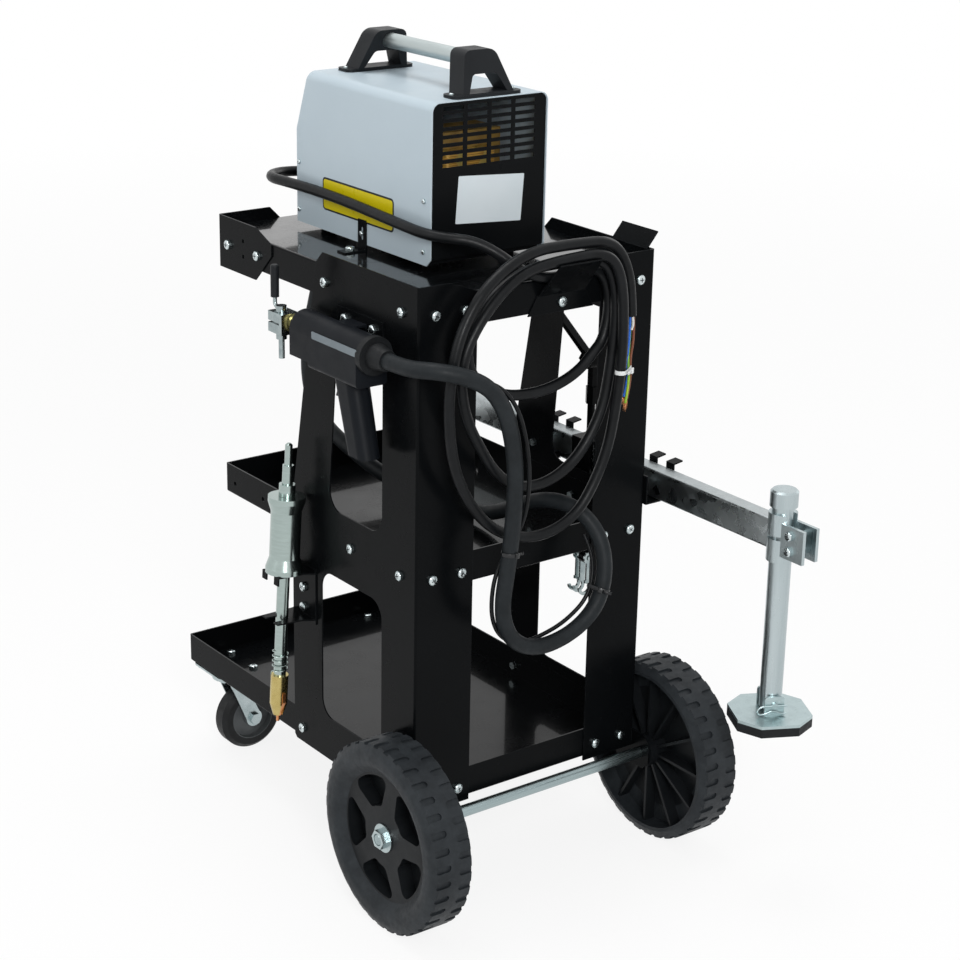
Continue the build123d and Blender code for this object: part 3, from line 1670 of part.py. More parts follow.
holder_low = -rod_drop - holder_length
holder_blank = turned(
    hammer_plane,
    [
        (0, holder_low),
        (holder_nose_radius, holder_low),
        (holder_radius, holder_low + holder_taper),
        (holder_radius, -rod_drop),
        (rod_radius + running_gap, -rod_drop),
        (rod_radius + running_gap, -rod_drop - rod_socket),
        (0, -rod_drop - rod_socket),
    ],
)
jaw_frame = Plane(hammer_plane.origin, x_dir=hammer_plane.y_dir, z_dir=hammer_plane.z_dir)
with BuildPart() as electrode_holder:
    add(holder_blank.part)
    with BuildSketch(jaw_frame.offset(holder_low)):
        with Locations((holder_radius / 2, 0)):
            Rectangle(2 * holder_radius, holder_slot)
    extrude(amount=holder_slot_length, mode=Mode.SUBTRACT)
save(electrode_holder, "electrode_holder")

# Copper tip: a flat jaw in the holder's slot with a round nose below it
jaw_inside = -holder_radius / 2
jaw_outside = holder_radius + tip_radius
jaw_plane = Plane(jaw_frame.origin, x_dir=jaw_frame.x_dir, z_dir=-jaw_frame.y_dir)
jaw_thickness = holder_slot - 2 * tip_fit
jaw_top = holder_low + holder_slot_length
with BuildPart() as copper_tip:
    with BuildSketch(jaw_plane.offset(-jaw_thickness / 2)):
        with BuildLine():
            Polyline(
                (jaw_inside, jaw_top),
                (jaw_outside, jaw_top),
                (jaw_outside, jaw_top - tip_plate_width),
                (tip_radius, holder_low - tip_radius),
                (-tip_radius, holder_low - tip_radius),
                (jaw_inside, holder_low + tip_radius),
                close=True,
            )
        make_face()
    extrude(amount=jaw_thickness)
    with BuildSketch(hammer_plane.offset(holder_low - tip_reach)):
        Circle(tip_radius)
    extrude(amount=tip_reach)
save(copper_tip, "copper_tip")


def tangent_pair(start, start_way, end, end_way):
    # the middle point of two arcs that join two points along two directions
    chord = end - start
    ways = start_way + end_way
    spread = 2 * (1 - start_way.dot(end_way))
    along = chord.dot(ways)
    reach = (sqrt(along * along + spread * chord.dot(chord)) - along) / spread
    return (start + end + (start_way - end_way) * reach) * 0.5


def spaced_points(wire, step):
    count = int(wire.length / step)
    return [wire.position_at(i / count) for i in range(count + 1)]


def least_gap(points, step, diameter):
    # least distance between stretches of a wound tube that aren't next to each other
    skip = int(2 * diameter / step) + 1
    least = min(
        (points[i] - points[j]).length for i in range(len(points)) for j in range(i + skip, len(points))
    )
    return least - diameter


# Spring round the hammer's rod: quarter turns of a helix that end square on the holder
quarter_rise = spring_pitch / 4
spring_quarters = 4 * spring_turns
spring_base = -rod_drop + spring_wire + spring_radius / 2
spring_points = []
spring_ways = []
slope = spring_pitch / (8 * spring_radius * sqrt(2) / 2)
for quarter in range(spring_quarters + 1):
    turn = radians(90 * quarter)
    spring_points.append(
        hammer_plane.from_local_coords(
            Vector(spring_radius * cos(turn), spring_radius * sin(turn), spring_base + quarter * quarter_rise)
        )
    )
    way = Vector(-sin(turn), cos(turn), slope).normalized()
    spring_ways.append(hammer_plane.from_local_coords(way) - hammer_plane.origin)
seat = hammer_plane.from_local_coords(Vector(spring_radius, -spring_radius / 2, -rod_drop))
seat_way = hammer_plane.z_dir
seat_end = seat + seat_way * spring_wire
with BuildPart() as hammer_spring:
    with BuildLine() as spring_route:
        Line(seat, seat_end)
        middle = tangent_pair(seat_end, seat_way, spring_points[0], spring_ways[0])
        first = TangentArc(seat_end, middle, tangent=seat_way)
        TangentArc(middle, spring_points[0], tangent=first % 1)
        for i in range(spring_quarters):
            middle = tangent_pair(spring_points[i], spring_ways[i], spring_points[i + 1], spring_ways[i + 1])
            first = TangentArc(spring_points[i], middle, tangent=spring_ways[i])
            TangentArc(middle, spring_points[i + 1], tangent=first % 1)
    with BuildSketch(Plane(origin=seat, z_dir=seat_way)):
        RegularPolygon(spring_wire / 2, bolt_shank_sides)
    sweep(path=spring_route.wire())
spring_step = spring_wire / 2
spring_gap = least_gap(spaced_points(spring_route.wire(), spring_step), spring_step, spring_wire)
print("hammer spring: least gap between turns", round(spring_gap, 2))
save(hammer_spring, "hammer_spring")

# Pull beam: a rectangular tube, its end shaped to the leg's collar
beam_middle_z = beam_low + beam_height / 2
with BuildPart() as pull_beam:
    with BuildSketch(Plane.XZ.offset(beam_front)):
        with Locations((beam_x, beam_middle_z)):
            RectangleRounded(beam_width, beam_height, 2 * beam_wall)
            Rectangle(beam_width - 2 * beam_wall, beam_height - 2 * beam_wall, mode=Mode.SUBTRACT)
    extrude(amount=-beam_front - leg_y)
    with BuildSketch(Plane.XY.offset(collar_low)):
        with Locations((beam_x, leg_y)):
            Circle(leg_outside)
    extrude(amount=collar_high - collar_low, mode=Mode.SUBTRACT)
save(pull_beam, "pull_beam")

# Leg collar: a split ring with two ears drawn together by its bolts
leg_bore = leg_radius + running_gap
ear_middle = (collar_low + collar_high) / 2
with BuildPart() as leg_collar:
    with BuildSketch(Plane.XY.offset(collar_low)):
        with Locations((beam_x, leg_y)):
            Circle(leg_outside)
    extrude(amount=collar_high - collar_low)
    with BuildSketch(Plane.XY.offset(ear_middle - collar_ear_height / 2)):
        with Locations((beam_x, leg_y + collar_ear_length / 2)):
            Rectangle(2 * collar_face, collar_ear_length)
    extrude(amount=collar_ear_height)
    with BuildSketch(Plane.XY.offset(collar_low)):
        with Locations((beam_x, leg_y)):
            Circle(leg_bore)
        with Locations((beam_x, leg_y + collar_ear_length / 2)):
            Rectangle(collar_gap, collar_ear_length)
    extrude(amount=collar_high - collar_low, mode=Mode.SUBTRACT)
    drill([(beam_x, y, z) for y, z in collar_bolts_at], (1, 0, 0), bolt_hole, 2 * collar_face)
    with BuildSketch(Plane.XZ.offset(-leg_y - leg_outside)):
        with Locations((beam_x + leg_outside, beam_middle_z)):
            Rectangle(2 * (leg_outside - collar_face), collar_slot)
    extrude(amount=2 * leg_outside, mode=Mode.SUBTRACT)
save(leg_collar, "leg_collar")

# Support leg: a tube with a turned knob on top and a cross hole for the foot's pin
leg_plane = Plane(origin=(beam_x, leg_y, 0))
knob_low = leg_top
knob_top = leg_top + leg_knob_height
leg_low = leg_pin_height - leg_tail
leg_blank = turned(
    leg_plane,
    [
        (leg_radius - leg_wall, leg_low),
        (leg_radius, leg_low),
        (leg_radius, knob_low),
        (leg_knob_radius, knob_low),
        (leg_knob_radius, knob_top - leg_wall),
        (leg_knob_radius - leg_wall, knob_top),
        (0, knob_top),
        (0, knob_low),
        (leg_radius - leg_wall, knob_low),
    ],
)
pin_way = Vector(sin(radians(foot_turn)), cos(radians(foot_turn)), 0)
pin_plane = Plane(origin=(beam_x, leg_y, leg_pin_height), x_dir=(0, 0, 1), z_dir=pin_way)
with BuildPart() as support_leg:
    add(leg_blank.part)
    drill([pin_plane.origin], pin_way, foot_pin_radius + running_gap, leg_radius + foot_ear)
save(support_leg, "support_leg")

# Foot: a plate with two ears pinned to the leg, over a rubber pad
plate_high = leg_pin_height - foot_drop
plate_bottom = plate_high - foot_plate
foot_plane = Plane(
    origin=(beam_x, leg_y, plate_bottom), x_dir=(cos(radians(foot_turn)), -sin(radians(foot_turn)), 0)
)
ear_in = leg_radius + 3 * clearance
ear_out = ear_in + foot_ear


def foot_block(height, thickness):
    # an octagonal slab of the foot's outline
    with BuildPart() as block:
        with BuildSketch(foot_plane.offset(height)) as outline:
            Rectangle(foot_size, foot_size)
            chamfer(outline.vertices(), foot_chamfer)
        extrude(amount=thickness)
    return block


foot_slab = foot_block(0, foot_plate)
with BuildPart() as foot_plate_piece:
    add(foot_slab.part)
    for face in (ear_in, -ear_out):
        with BuildSketch(pin_plane.offset(face)) as foot_lug:
            with Locations(((foot_ear_rise - foot_drop) / 2, 0)):
                Rectangle(foot_ear_rise + foot_drop, foot_ear_width)
            fillet(foot_lug.vertices().group_by(Axis.X)[-1], foot_ear_corner)
        extrude(amount=foot_ear)
    drill([pin_plane.origin], pin_way, foot_pin_radius, 2 * ear_out)
save(foot_plate_piece, "foot_plate")

foot_pad_piece = foot_block(-foot_pad, foot_pad)
save(foot_pad_piece, "foot_pad")

with BuildPart() as foot_pin:
    with BuildSketch(pin_plane.offset(-ear_out - foot_ear)):
        Circle(foot_pin_radius)
    extrude(amount=2 * (ear_out + foot_ear))
    with BuildSketch(pin_plane.offset(-ear_out - foot_ear)):
        Circle(foot_pin_head)
    extrude(amount=foot_ear)
save(foot_pin, "foot_pin")

# Puller carriage: a sleeve on the beam with a post above and a link below
sleeve_plane = Plane.XZ.offset(-carriage_y - carriage_length / 2)
sleeve_high = beam_high + clearance + carriage_wall
sleeve_low = beam_low - clearance - carriage_wall
nut_low = sleeve_high + post_height
eye_z = nut_low + post_nut_height + eye_rise
link_eye_z = sleeve_low - link_length
with BuildPart() as puller_carriage:
    with BuildSketch(sleeve_plane):
        with Locations((beam_x, beam_middle_z)):
            Rectangle(
                beam_width + 2 * (clearance + carriage_wall), beam_height + 2 * (clearance + carriage_wall)
            )
            Rectangle(beam_width + 2 * clearance, beam_height + 2 * clearance, mode=Mode.SUBTRACT)
    extrude(amount=carriage_length)
    with BuildSketch(Plane.XY.offset(sleeve_high)):
        with Locations((beam_x, carriage_y)):
            Circle(post_radius)
    extrude(amount=post_height)
    with BuildSketch(Plane.XY.offset(nut_low)):
        with Locations((beam_x, carriage_y)):
            RegularPolygon(post_nut_radius, bolt_shank_sides)
    extrude(amount=post_nut_height)
    with BuildSketch(Plane.YZ.offset(beam_x - eye_width / 2)):
        with Locations((carriage_y, eye_z)):
            Circle(eye_radius)
        with Locations((carriage_y, eye_z - eye_rise / 2)):
            Rectangle(2 * post_radius, eye_rise)
        with Locations((carriage_y, eye_z)):
            Circle(eye_pin_radius + running_gap, mode=Mode.SUBTRACT)
    extrude(amount=eye_width)
    with BuildSketch(Plane.XY.offset(sleeve_low)):
        with Locations((beam_x, carriage_y)):
            Circle(link_radius)
    extrude(amount=-link_length + link_eye_radius / 2)
    with BuildSketch(Plane.XZ.offset(-carriage_y - link_eye_width / 2)):
        with Locations((beam_x, link_eye_z)):
            Circle(link_eye_radius)
            Circle(hook_bar_radius + running_gap, mode=Mode.SUBTRACT)
    extrude(amount=link_eye_width)
save(puller_carriage, "puller_carriage")

# Puller lever: a hub that straddles the post's eye, with a flat arm
hub_outside = eye_radius + clearance + hub_wall
cheek_inside = eye_width / 2 + clearance
cheek_outside = cheek_inside + cheek
arm_way = Vector(0, -cos(radians(arm_lift)), sin(radians(arm_lift)))
hub_base = Plane(origin=(beam_x, carriage_y, eye_z), x_dir=arm_way, z_dir=(1, 0, 0))
with BuildPart() as puller_lever:
    for face in (cheek_inside, -cheek_outside):
        with BuildSketch(hub_base.offset(face)):
            Circle(eye_radius)
            with Locations((hub_outside / 2, 0)):
                Rectangle(hub_outside, 2 * eye_radius)
        extrude(amount=cheek)
    with BuildSketch(hub_base.offset(-cheek_outside)):
        with Locations((hub_outside - hub_wall / 2, 0)):
            Rectangle(hub_wall, 2 * eye_radius)
    extrude(amount=2 * cheek_outside)
    with BuildSketch(hub_base.offset(-arm_width / 2)):
        with Locations((hub_outside + arm_length / 2 - arm_thickness, 0)):
            SlotOverall(arm_length, arm_thickness)
    extrude(amount=arm_width)
    with BuildSketch(hub_base.offset(-cheek_outside)):
        Circle(eye_pin_radius)
    extrude(amount=2 * cheek_outside)
save(puller_lever, "puller_lever")

# Hook claw: flat hooks side by side on a bar through the link's eye
claw_plane = Plane(origin=(beam_x, carriage_y, link_eye_z), x_dir=(1, 0, 0), z_dir=(0, -1, 0))
hook_first = link_eye_width / 2 + hook_plate
hook_places = [-hook_first] + [hook_first + hook_pitch * step for step in range(hook_count - 1)]
bar_low = hook_places[0] - hook_plate
bar_high = hook_places[-1] + hook_plate
hook_inner = hook_curl - hook_strip / 2
with BuildPart() as hook_claw:
    with BuildSketch(claw_plane.offset(bar_low)):
        Circle(hook_bar_radius)
    extrude(amount=bar_high - bar_low)
    for place in hook_places:
        with BuildSketch(claw_plane.offset(place - hook_plate / 2)):
            Circle(hook_strip)
            with Locations((0, -hook_hang / 2)):
                Rectangle(hook_strip, hook_hang)
            with Locations((hook_inner, -hook_hang)):
                Circle(hook_curl)
                Circle(hook_inner, mode=Mode.SUBTRACT)
                with Locations((hook_curl / 2, hook_curl / 2)):
                    Rectangle(hook_curl, hook_curl, mode=Mode.SUBTRACT)
        extrude(amount=hook_plate)
save(hook_claw, "hook_claw")


def cord_radii(points):
    # the largest arcs that the runs on both sides of each corner leave room for
    radii = []
    for before, corner, after in zip(points, points[1:], points[2:]):
        arriving = Vector(*corner) - Vector(*before)
        leaving = Vector(*after) - Vector(*corner)
        half_turn = radians(arriving.get_angle(leaving)) / 2
        radii.append(arc_share * min(arriving.length, leaving.length) / tan(half_turn))
    return radii


def make_cord(name, points, diameter):
    # a tube along straight runs joined by tangent arcs
    radii = cord_radii(points)
    with BuildPart() as cord:
        with BuildLine() as route:
            FilletPolyline(*points, radius=radii)
        with BuildSketch(Plane(origin=points[0], z_dir=Vector(*points[1]) - Vector(*points[0]))) as section:
            RegularPolygon(diameter / 2, cord_sides)
        sweep(path=route.wire())
    length = route.wire().length
    share = cord.part.volume / (section.sketch.area * length)
    print(name, "length", round(length), "volume over section times length", round(share, 3))
    print(name, "radii over diameter", [round(radius / diameter, 1) for radius in radii])
    return cord


# Mains lead: from its gland round the case's front corner, along its side and to the cable hook
mains_tip = (mains_gland_spot[0], mains_gland_spot[1] - gland_length, mains_gland_spot[2])
coil_seat_z = hook_bend_z + coil_seat_rise
coil_start = (coil_top_right + 2 * mains_diameter, coil_seat_y, coil_seat_z)
mains_points = [
    mains_tip,
    (6, -457, 872),
    (39, -489, 870),
    (85, -489, 869),
    (117, -456, 870),
    (113, -405, 871),
    (109, -340, 871),
    (109.5, -268, 870),
    (112, -198, 869),
    (115, -132, 868),
    (114, -86, 867),
    (94, -58, 866),
    (72, -42, 864),
    (50, -22, 851),
    (28, -4, 833),
    (2, coil_seat_y, coil_seat_z),
    coil_start,
]
mains_cable = make_cord("mains cable", mains_points, mains_diameter)
save(mains_cable, "mains_cable")

# Coil of the mains lead on the hook: loops that grow outwards, each strand laid straight over the tongue
go_up, go_down = Vector(0, 0, 1), Vector(0, 0, -1)
go_left, go_right = Vector(-1, 0, 0), Vector(1, 0, 0)
coil_first = Vector(coil_top_right, coil_seat_y, coil_seat_z)
coil_stops = []
for loop, (right_y, left_y) in enumerate(coil_depths):
    inward = len(coil_depths) - 1 - loop
    low_z = coil_low + inward * coil_low_step
    left_x = coil_left - inward * coil_left_step
    left_z = coil_left_z + inward * coil_left_z_step
    strand_y = coil_seat_y + coil_strands[loop][0]
    strand_z = coil_seat_z + coil_strands[loop][1]
    coil_stops += [
        (Vector(coil_right + inward * coil_right_step, right_y, coil_right_z), go_down),
        (Vector(coil_middle_x, (right_y + left_y) / 2, low_z), go_right),
        (Vector(left_x, left_y, left_z), go_up),
        (Vector(coil_top_left, strand_y, strand_z), go_left),
        (Vector(coil_top_right, strand_y, strand_z), go_left),
    ]
coil_stops.append((Vector(*coil_tail), go_down))
with BuildPart() as mains_coil:
    with BuildLine() as coil_route:
        Line(coil_start, coil_first)
        point, way = coil_first, go_left
        for next_point, next_way in coil_stops:
            if next_way is way:
                Line(point, next_point)
            else:
                middle = tangent_pair(point, way, next_point, next_way)
                first = TangentArc(point, middle, tangent=way)
                TangentArc(middle, next_point, tangent=first % 1)
            point, way = next_point, next_way
        Line(point, point + way * mains_diameter)
    with BuildSketch(Plane(origin=coil_start, z_dir=(-1, 0, 0))) as coil_section:
        RegularPolygon(mains_diameter / 2, cord_sides)
    sweep(path=coil_route.wire())
coil_length = coil_route.wire().length
coil_share = mains_coil.part.volume / (coil_section.sketch.area * coil_length)
coil_step = mains_diameter / 4
coil_gap = least_gap(spaced_points(coil_route.wire(), coil_step), coil_step, mains_diameter)
print("mains coil length", round(coil_length), "volume over section times length", round(coil_share, 3))
print("mains coil: least gap between loops", round(coil_gap, 2))
save(mains_coil, "mains_coil")

# Gun cord: from the gun's bush down behind the trolley, through the middle tray and up to the case
gun_cord_start = (gun_x, -gun_back + bush_length, gun_z)
gun_cord_tip = (gun_gland_spot[0], gun_gland_spot[1] - gland_length, gun_gland_spot[2])
gun_cord_points = [
    gun_cord_start,
    (215, 20, gun_z),
    (196, 53, 748),
    (164, 71, 740),
    (129, 73, 720),
    (102, 72, 690),
    (84, 70, 650),
    (74, 68, 606),
    (72, 66, 560),
    (78, 65, 514),
    (87, 64, 470),
    (93, 62, 428),
    (88, 60, 388),
    (62, 60, 358),
    (22, 60, 345),
    (-20, 60, 350),
    (-56, 60, 372),
    (-80, 58, 406),
    (-90, 50, 446),
    (-84, 36, 484),
    (-66, 14, 510),
    (-48, -14, 517),
    (-38, -50, 507),
    (-34, -92, 484),
    (-32, -136, 463),
    (-24, -184, 455),
    (-6, -232, 457),
    (16, -280, 470),
    (34, -328, 490),
    (43, -376, 508),
    (45, -424, 524),
    (38, -466, 548),
    (26, -498, 584),
    (10, -518, 630),
    (-8, -528, 678),
    (-22, -531, 722),
    (-31, -530, 762),
    (-36, -524, 795),
    (-38, -510, 828),
    (-39, -485, 854),
    (-40, -454, 868),
    gun_cord_tip,
]
gun_cable = make_cord("gun cable", gun_cord_points, gun_cord_diameter)
save(gun_cable, "gun_cable")
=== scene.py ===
import math
import bmesh
import bpy
from mathutils import Matrix, Vector


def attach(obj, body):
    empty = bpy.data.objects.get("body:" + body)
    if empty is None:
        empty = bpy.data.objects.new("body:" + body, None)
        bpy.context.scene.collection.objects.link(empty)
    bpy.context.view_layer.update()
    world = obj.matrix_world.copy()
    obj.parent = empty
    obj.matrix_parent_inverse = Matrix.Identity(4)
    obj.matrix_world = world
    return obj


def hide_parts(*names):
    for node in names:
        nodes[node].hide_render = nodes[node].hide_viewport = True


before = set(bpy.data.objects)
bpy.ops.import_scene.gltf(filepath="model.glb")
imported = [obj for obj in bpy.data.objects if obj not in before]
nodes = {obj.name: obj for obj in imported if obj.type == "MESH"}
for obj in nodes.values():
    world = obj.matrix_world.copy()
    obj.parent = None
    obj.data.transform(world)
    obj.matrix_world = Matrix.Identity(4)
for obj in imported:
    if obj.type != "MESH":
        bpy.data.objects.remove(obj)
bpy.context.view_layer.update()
# routes and small pieces are written in millimetres
mm = 0.001


def axes_at(spot, across, up, out):
    # a frame with its own x, y and z along the three ways
    return Matrix(
        (
            (across.x, up.x, out.x, spot.x),
            (across.y, up.y, out.y, spot.y),
            (across.z, up.z, out.z, spot.z),
            (0, 0, 0, 1),
        )
    )


# Camera at the photograph's angle, in degrees and metres, with its lens in pixels and millimetres
camera_angles = (142.9444, 19.6505, 1.1461)
camera_spot = Vector((1.65602, 2.07609, 1.50403))
focus_pixels = 2212.289
photo_pixels = 960
sensor_width = 36.0


def place_camera():
    turn, rise, roll = (math.radians(angle) for angle in camera_angles)
    back = Vector((math.sin(turn) * math.cos(rise), -math.cos(turn) * math.cos(rise), math.sin(rise)))
    level_right = (-back).cross(Vector((0, 0, 1))).normalized()
    level_up = level_right.cross(-back)
    right = level_right * math.cos(roll) + level_up * math.sin(roll)
    up = level_up * math.cos(roll) - level_right * math.sin(roll)
    lens = bpy.data.cameras.new("camera")
    lens.sensor_width = sensor_width
    lens.lens = sensor_width * focus_pixels / photo_pixels
    lens.clip_end = 100.0
    camera = bpy.data.objects.new("camera", lens)
    camera.matrix_world = axes_at(camera_spot, right, up, back)
    bpy.context.scene.collection.objects.link(camera)
    bpy.context.scene.camera = camera


place_camera()


# Finishes: each reads Object coordinates, in metres
def start_finish(name):
    finish = bpy.data.materials.new(name)
    finish.use_nodes = True
    tree = finish.node_tree
    skin = tree.nodes["Principled BSDF"]
    place = tree.nodes.new("ShaderNodeTexCoord").outputs["Object"]
    return finish, tree, skin, place


def moved(tree, place, scale=(1, 1, 1), centre=(0, 0, 0)):
    shift = tree.nodes.new("ShaderNodeMapping")
    shift.inputs["Location"].default_value = [-c * s for c, s in zip(centre, scale)]
    shift.inputs["Scale"].default_value = scale
    tree.links.new(place, shift.inputs["Vector"])
    return shift.outputs["Vector"]


def cloud(tree, place, scale, detail=4.0, rough=0.55, stretch=None):
    if stretch:
        place = moved(tree, place, stretch)
    noise = tree.nodes.new("ShaderNodeTexNoise")
    noise.inputs["Scale"].default_value = scale
    noise.inputs["Detail"].default_value = detail
    noise.inputs["Roughness"].default_value = rough
    tree.links.new(place, noise.inputs["Vector"])
    return noise.outputs["Fac"]


def graded(tree, value, low, high, start=0.3, end=0.7):
    grade = tree.nodes.new("ShaderNodeMapRange")
    grade.inputs["From Min"].default_value = start
    grade.inputs["From Max"].default_value = end
    grade.inputs["To Min"].default_value = low
    grade.inputs["To Max"].default_value = high
    tree.links.new(value, grade.inputs["Value"])
    return grade.outputs["Result"]


def sum_of(tree, operation, first, second):
    node = tree.nodes.new("ShaderNodeMath")
    node.operation = operation
    for socket, value in zip(node.inputs, (first, second)):
        if hasattr(value, "is_linked"):
            tree.links.new(value, socket)
        else:
            socket.default_value = value
    return node.outputs[0]


def two_shades(tree, amount, first, second):
    mix = tree.nodes.new("ShaderNodeMix")
    mix.data_type = "RGBA"
    tree.links.new(amount, mix.inputs[0])
    for socket, shade in ((mix.inputs[6], first), (mix.inputs[7], second)):
        if hasattr(shade, "is_linked"):
            tree.links.new(shade, socket)
        else:
            socket.default_value = (*shade, 1.0)
    return mix.outputs[2]


def raise_grain(tree, skin, height, strength, depth):
    bump = tree.nodes.new("ShaderNodeBump")
    bump.inputs["Strength"].default_value = strength
    bump.inputs["Distance"].default_value = depth
    tree.links.new(height, bump.inputs["Height"])
    tree.links.new(bump.outputs["Normal"], skin.inputs["Normal"])


def painted_edge_highlight(tree, place, width, most):
    # where the rounded normal leaves the flat one, broken up by a cloud: a painted highlight along rounded
    # edges
    rounded = tree.nodes.new("ShaderNodeBevel")
    rounded.samples = 4
    rounded.inputs["Radius"].default_value = width
    flat = tree.nodes.new("ShaderNodeNewGeometry")
    compare = tree.nodes.new("ShaderNodeVectorMath")
    compare.operation = "DOT_PRODUCT"
    tree.links.new(rounded.outputs["Normal"], compare.inputs[0])
    tree.links.new(flat.outputs["Normal"], compare.inputs[1])
    edge = graded(tree, compare.outputs["Value"], most, 0.0, 0.72, 0.97)
    patchy = graded(tree, cloud(tree, place, 45.0, 6.0, 0.7), 0.15, 1.0, 0.4, 0.62)
    return sum_of(tree, "MULTIPLY", edge, patchy)


def powder_coat(name, shade, pale, edge_highlight_shade, gloss, sheen, grain=1500.0, polish=0.0):
    finish, tree, skin, place = start_finish(name)
    patches = graded(tree, cloud(tree, place, 7.0), 0.0, 1.0)
    coat = two_shades(tree, patches, shade, pale)
    edge_highlight_mask = painted_edge_highlight(tree, place, 0.0011, 0.8)
    # edges lightened toward the shade of a painted highlight
    tree.links.new(two_shades(tree, edge_highlight_mask, coat, edge_highlight_shade), skin.inputs["Base Color"])
    smear = graded(tree, cloud(tree, place, 26.0, 6.0), gloss - 0.05, gloss + 0.09)
    tree.links.new(smear, skin.inputs["Roughness"])
    skin.inputs["Specular IOR Level"].default_value = sheen
    raise_grain(tree, skin, cloud(tree, place, grain, 2.0), 0.25, 0.0001)
    if polish:
        # wiped bright where things stand on it
        face = tree.nodes.new("ShaderNodeSeparateXYZ")
        tree.links.new(tree.nodes.new("ShaderNodeNewGeometry").outputs["Normal"], face.inputs["Vector"])
        upward = graded(tree, face.outputs["Z"], 0.0, polish, 0.6, 0.9)
        patchy = graded(tree, cloud(tree, place, 5.0, 3.0), 0.85, 1.0)
        tree.links.new(sum_of(tree, "MULTIPLY", upward, patchy), skin.inputs["Coat Weight"])
        skin.inputs["Coat Roughness"].default_value = 0.06
    return finish


def moulded(name, shade, pale, gloss, sheen=0.25, grain=2600.0, depth=0.00015):
    finish, tree, skin, place = start_finish(name)
    patches = graded(tree, cloud(tree, place, 14.0), 0.0, 1.0)
    tree.links.new(two_shades(tree, patches, shade, pale), skin.inputs["Base Color"])
    smear = graded(tree, cloud(tree, place, 55.0, 5.0), gloss - 0.06, gloss + 0.08)
    tree.links.new(smear, skin.inputs["Roughness"])
    skin.inputs["Specular IOR Level"].default_value = sheen
    raise_grain(tree, skin, cloud(tree, place, grain, 2.0), 0.35, depth)
    return finish


def plated(name, shade, dull, gloss, stretch=None, grain=420.0, spots=60.0, uneven=0.08):
    finish, tree, skin, place = start_finish(name)
    skin.inputs["Metallic"].default_value = 1.0
    streaks = graded(tree, cloud(tree, place, spots, 6.0, 0.65, stretch), 0.0, 1.0)
    tree.links.new(two_shades(tree, streaks, shade, dull), skin.inputs["Base Color"])
    smear = graded(tree, cloud(tree, place, grain, 3.0, 0.6, stretch), gloss - uneven, gloss + uneven)
    tree.links.new(smear, skin.inputs["Roughness"])
    raise_grain(tree, skin, cloud(tree, place, grain * 3, 2.0, 0.5, stretch), 0.12, 0.00008)
    return finish


def galvanised(name, shade, dull, gloss):
    finish, tree, skin, place = start_finish(name)
    skin.inputs["Metallic"].default_value = 1.0
    spangle = tree.nodes.new("ShaderNodeTexVoronoi")
    spangle.inputs["Scale"].default_value = 95.0
    tree.links.new(place, spangle.inputs["Vector"])
    flakes = tree.nodes.new("ShaderNodeSeparateColor")
    tree.links.new(spangle.outputs["Color"], flakes.inputs["Color"])
    drawn = graded(tree, cloud(tree, place, 9.0, 6.0, 0.6, (1.0, 0.2, 1.0)), 0.0, 0.75)
    blend = sum_of(tree, "ADD", drawn, sum_of(tree, "MULTIPLY", flakes.outputs["Red"], 0.25))
    tree.links.new(two_shades(tree, blend, shade, dull), skin.inputs["Base Color"])
    smear = graded(tree, flakes.outputs["Green"], gloss - 0.07, gloss + 0.1, 0.0, 1.0)
    tree.links.new(smear, skin.inputs["Roughness"])
    raise_grain(tree, skin, cloud(tree, place, 700.0, 3.0), 0.15, 0.00008)
    return finish


def wheel_rubber(name, shade, pale, gloss, sheen=0.2):
    finish, tree, skin, place = start_finish(name)
    dust = graded(tree, cloud(tree, place, 30.0, 8.0, 0.7), 0.0, 1.0, 0.35, 0.75)
    tree.links.new(two_shades(tree, dust, shade, pale), skin.inputs["Base Color"])
    smear = graded(tree, cloud(tree, place, 160.0, 4.0), gloss - 0.08, gloss + 0.1)
    tree.links.new(smear, skin.inputs["Roughness"])
    skin.inputs["Specular IOR Level"].default_value = sheen
    raise_grain(tree, skin, cloud(tree, place, 1800.0, 3.0), 0.4, 0.0002)
    return finish


def from_axle(tree, place, axle, flat):
    # distance from an axle: its point, and a scale that flattens the axle's own direction
    distance = tree.nodes.new("ShaderNodeVectorMath")
    distance.operation = "LENGTH"
    tree.links.new(moved(tree, place, flat, axle), distance.inputs[0])
    return distance.outputs["Value"]


caster_axle_x = 0.115
caster_axle_z = 0.05
tread_inside = 0.0335
tread_edge = 0.001


def caster_tread(name, side):
    # a black tread round a grey moulded centre
    finish, tree, skin, place = start_finish(name)
    radius = from_axle(tree, place, (side * caster_axle_x, 0.0, caster_axle_z), (1, 0, 1))
    ring = graded(tree, radius, 0.0, 1.0, tread_inside, tread_inside + tread_edge)
    faded = graded(tree, cloud(tree, place, 30.0), 0.0, 1.0)
    grey = two_shades(tree, faded, (0.10, 0.108, 0.112), (0.14, 0.15, 0.155))
    dusty = graded(tree, cloud(tree, place, 40.0, 7.0), 0.0, 1.0)
    black = two_shades(tree, dusty, (0.005, 0.0055, 0.006), (0.013, 0.014, 0.015))
    tree.links.new(two_shades(tree, ring, grey, black), skin.inputs["Base Color"])
    smear = graded(tree, cloud(tree, place, 150.0, 4.0), 0.4, 0.6)
    tree.links.new(smear, skin.inputs["Roughness"])
    skin.inputs["Specular IOR Level"].default_value = 0.2
    raise_grain(tree, skin, cloud(tree, place, 1900.0, 3.0), 0.35, 0.00018)
    return finish


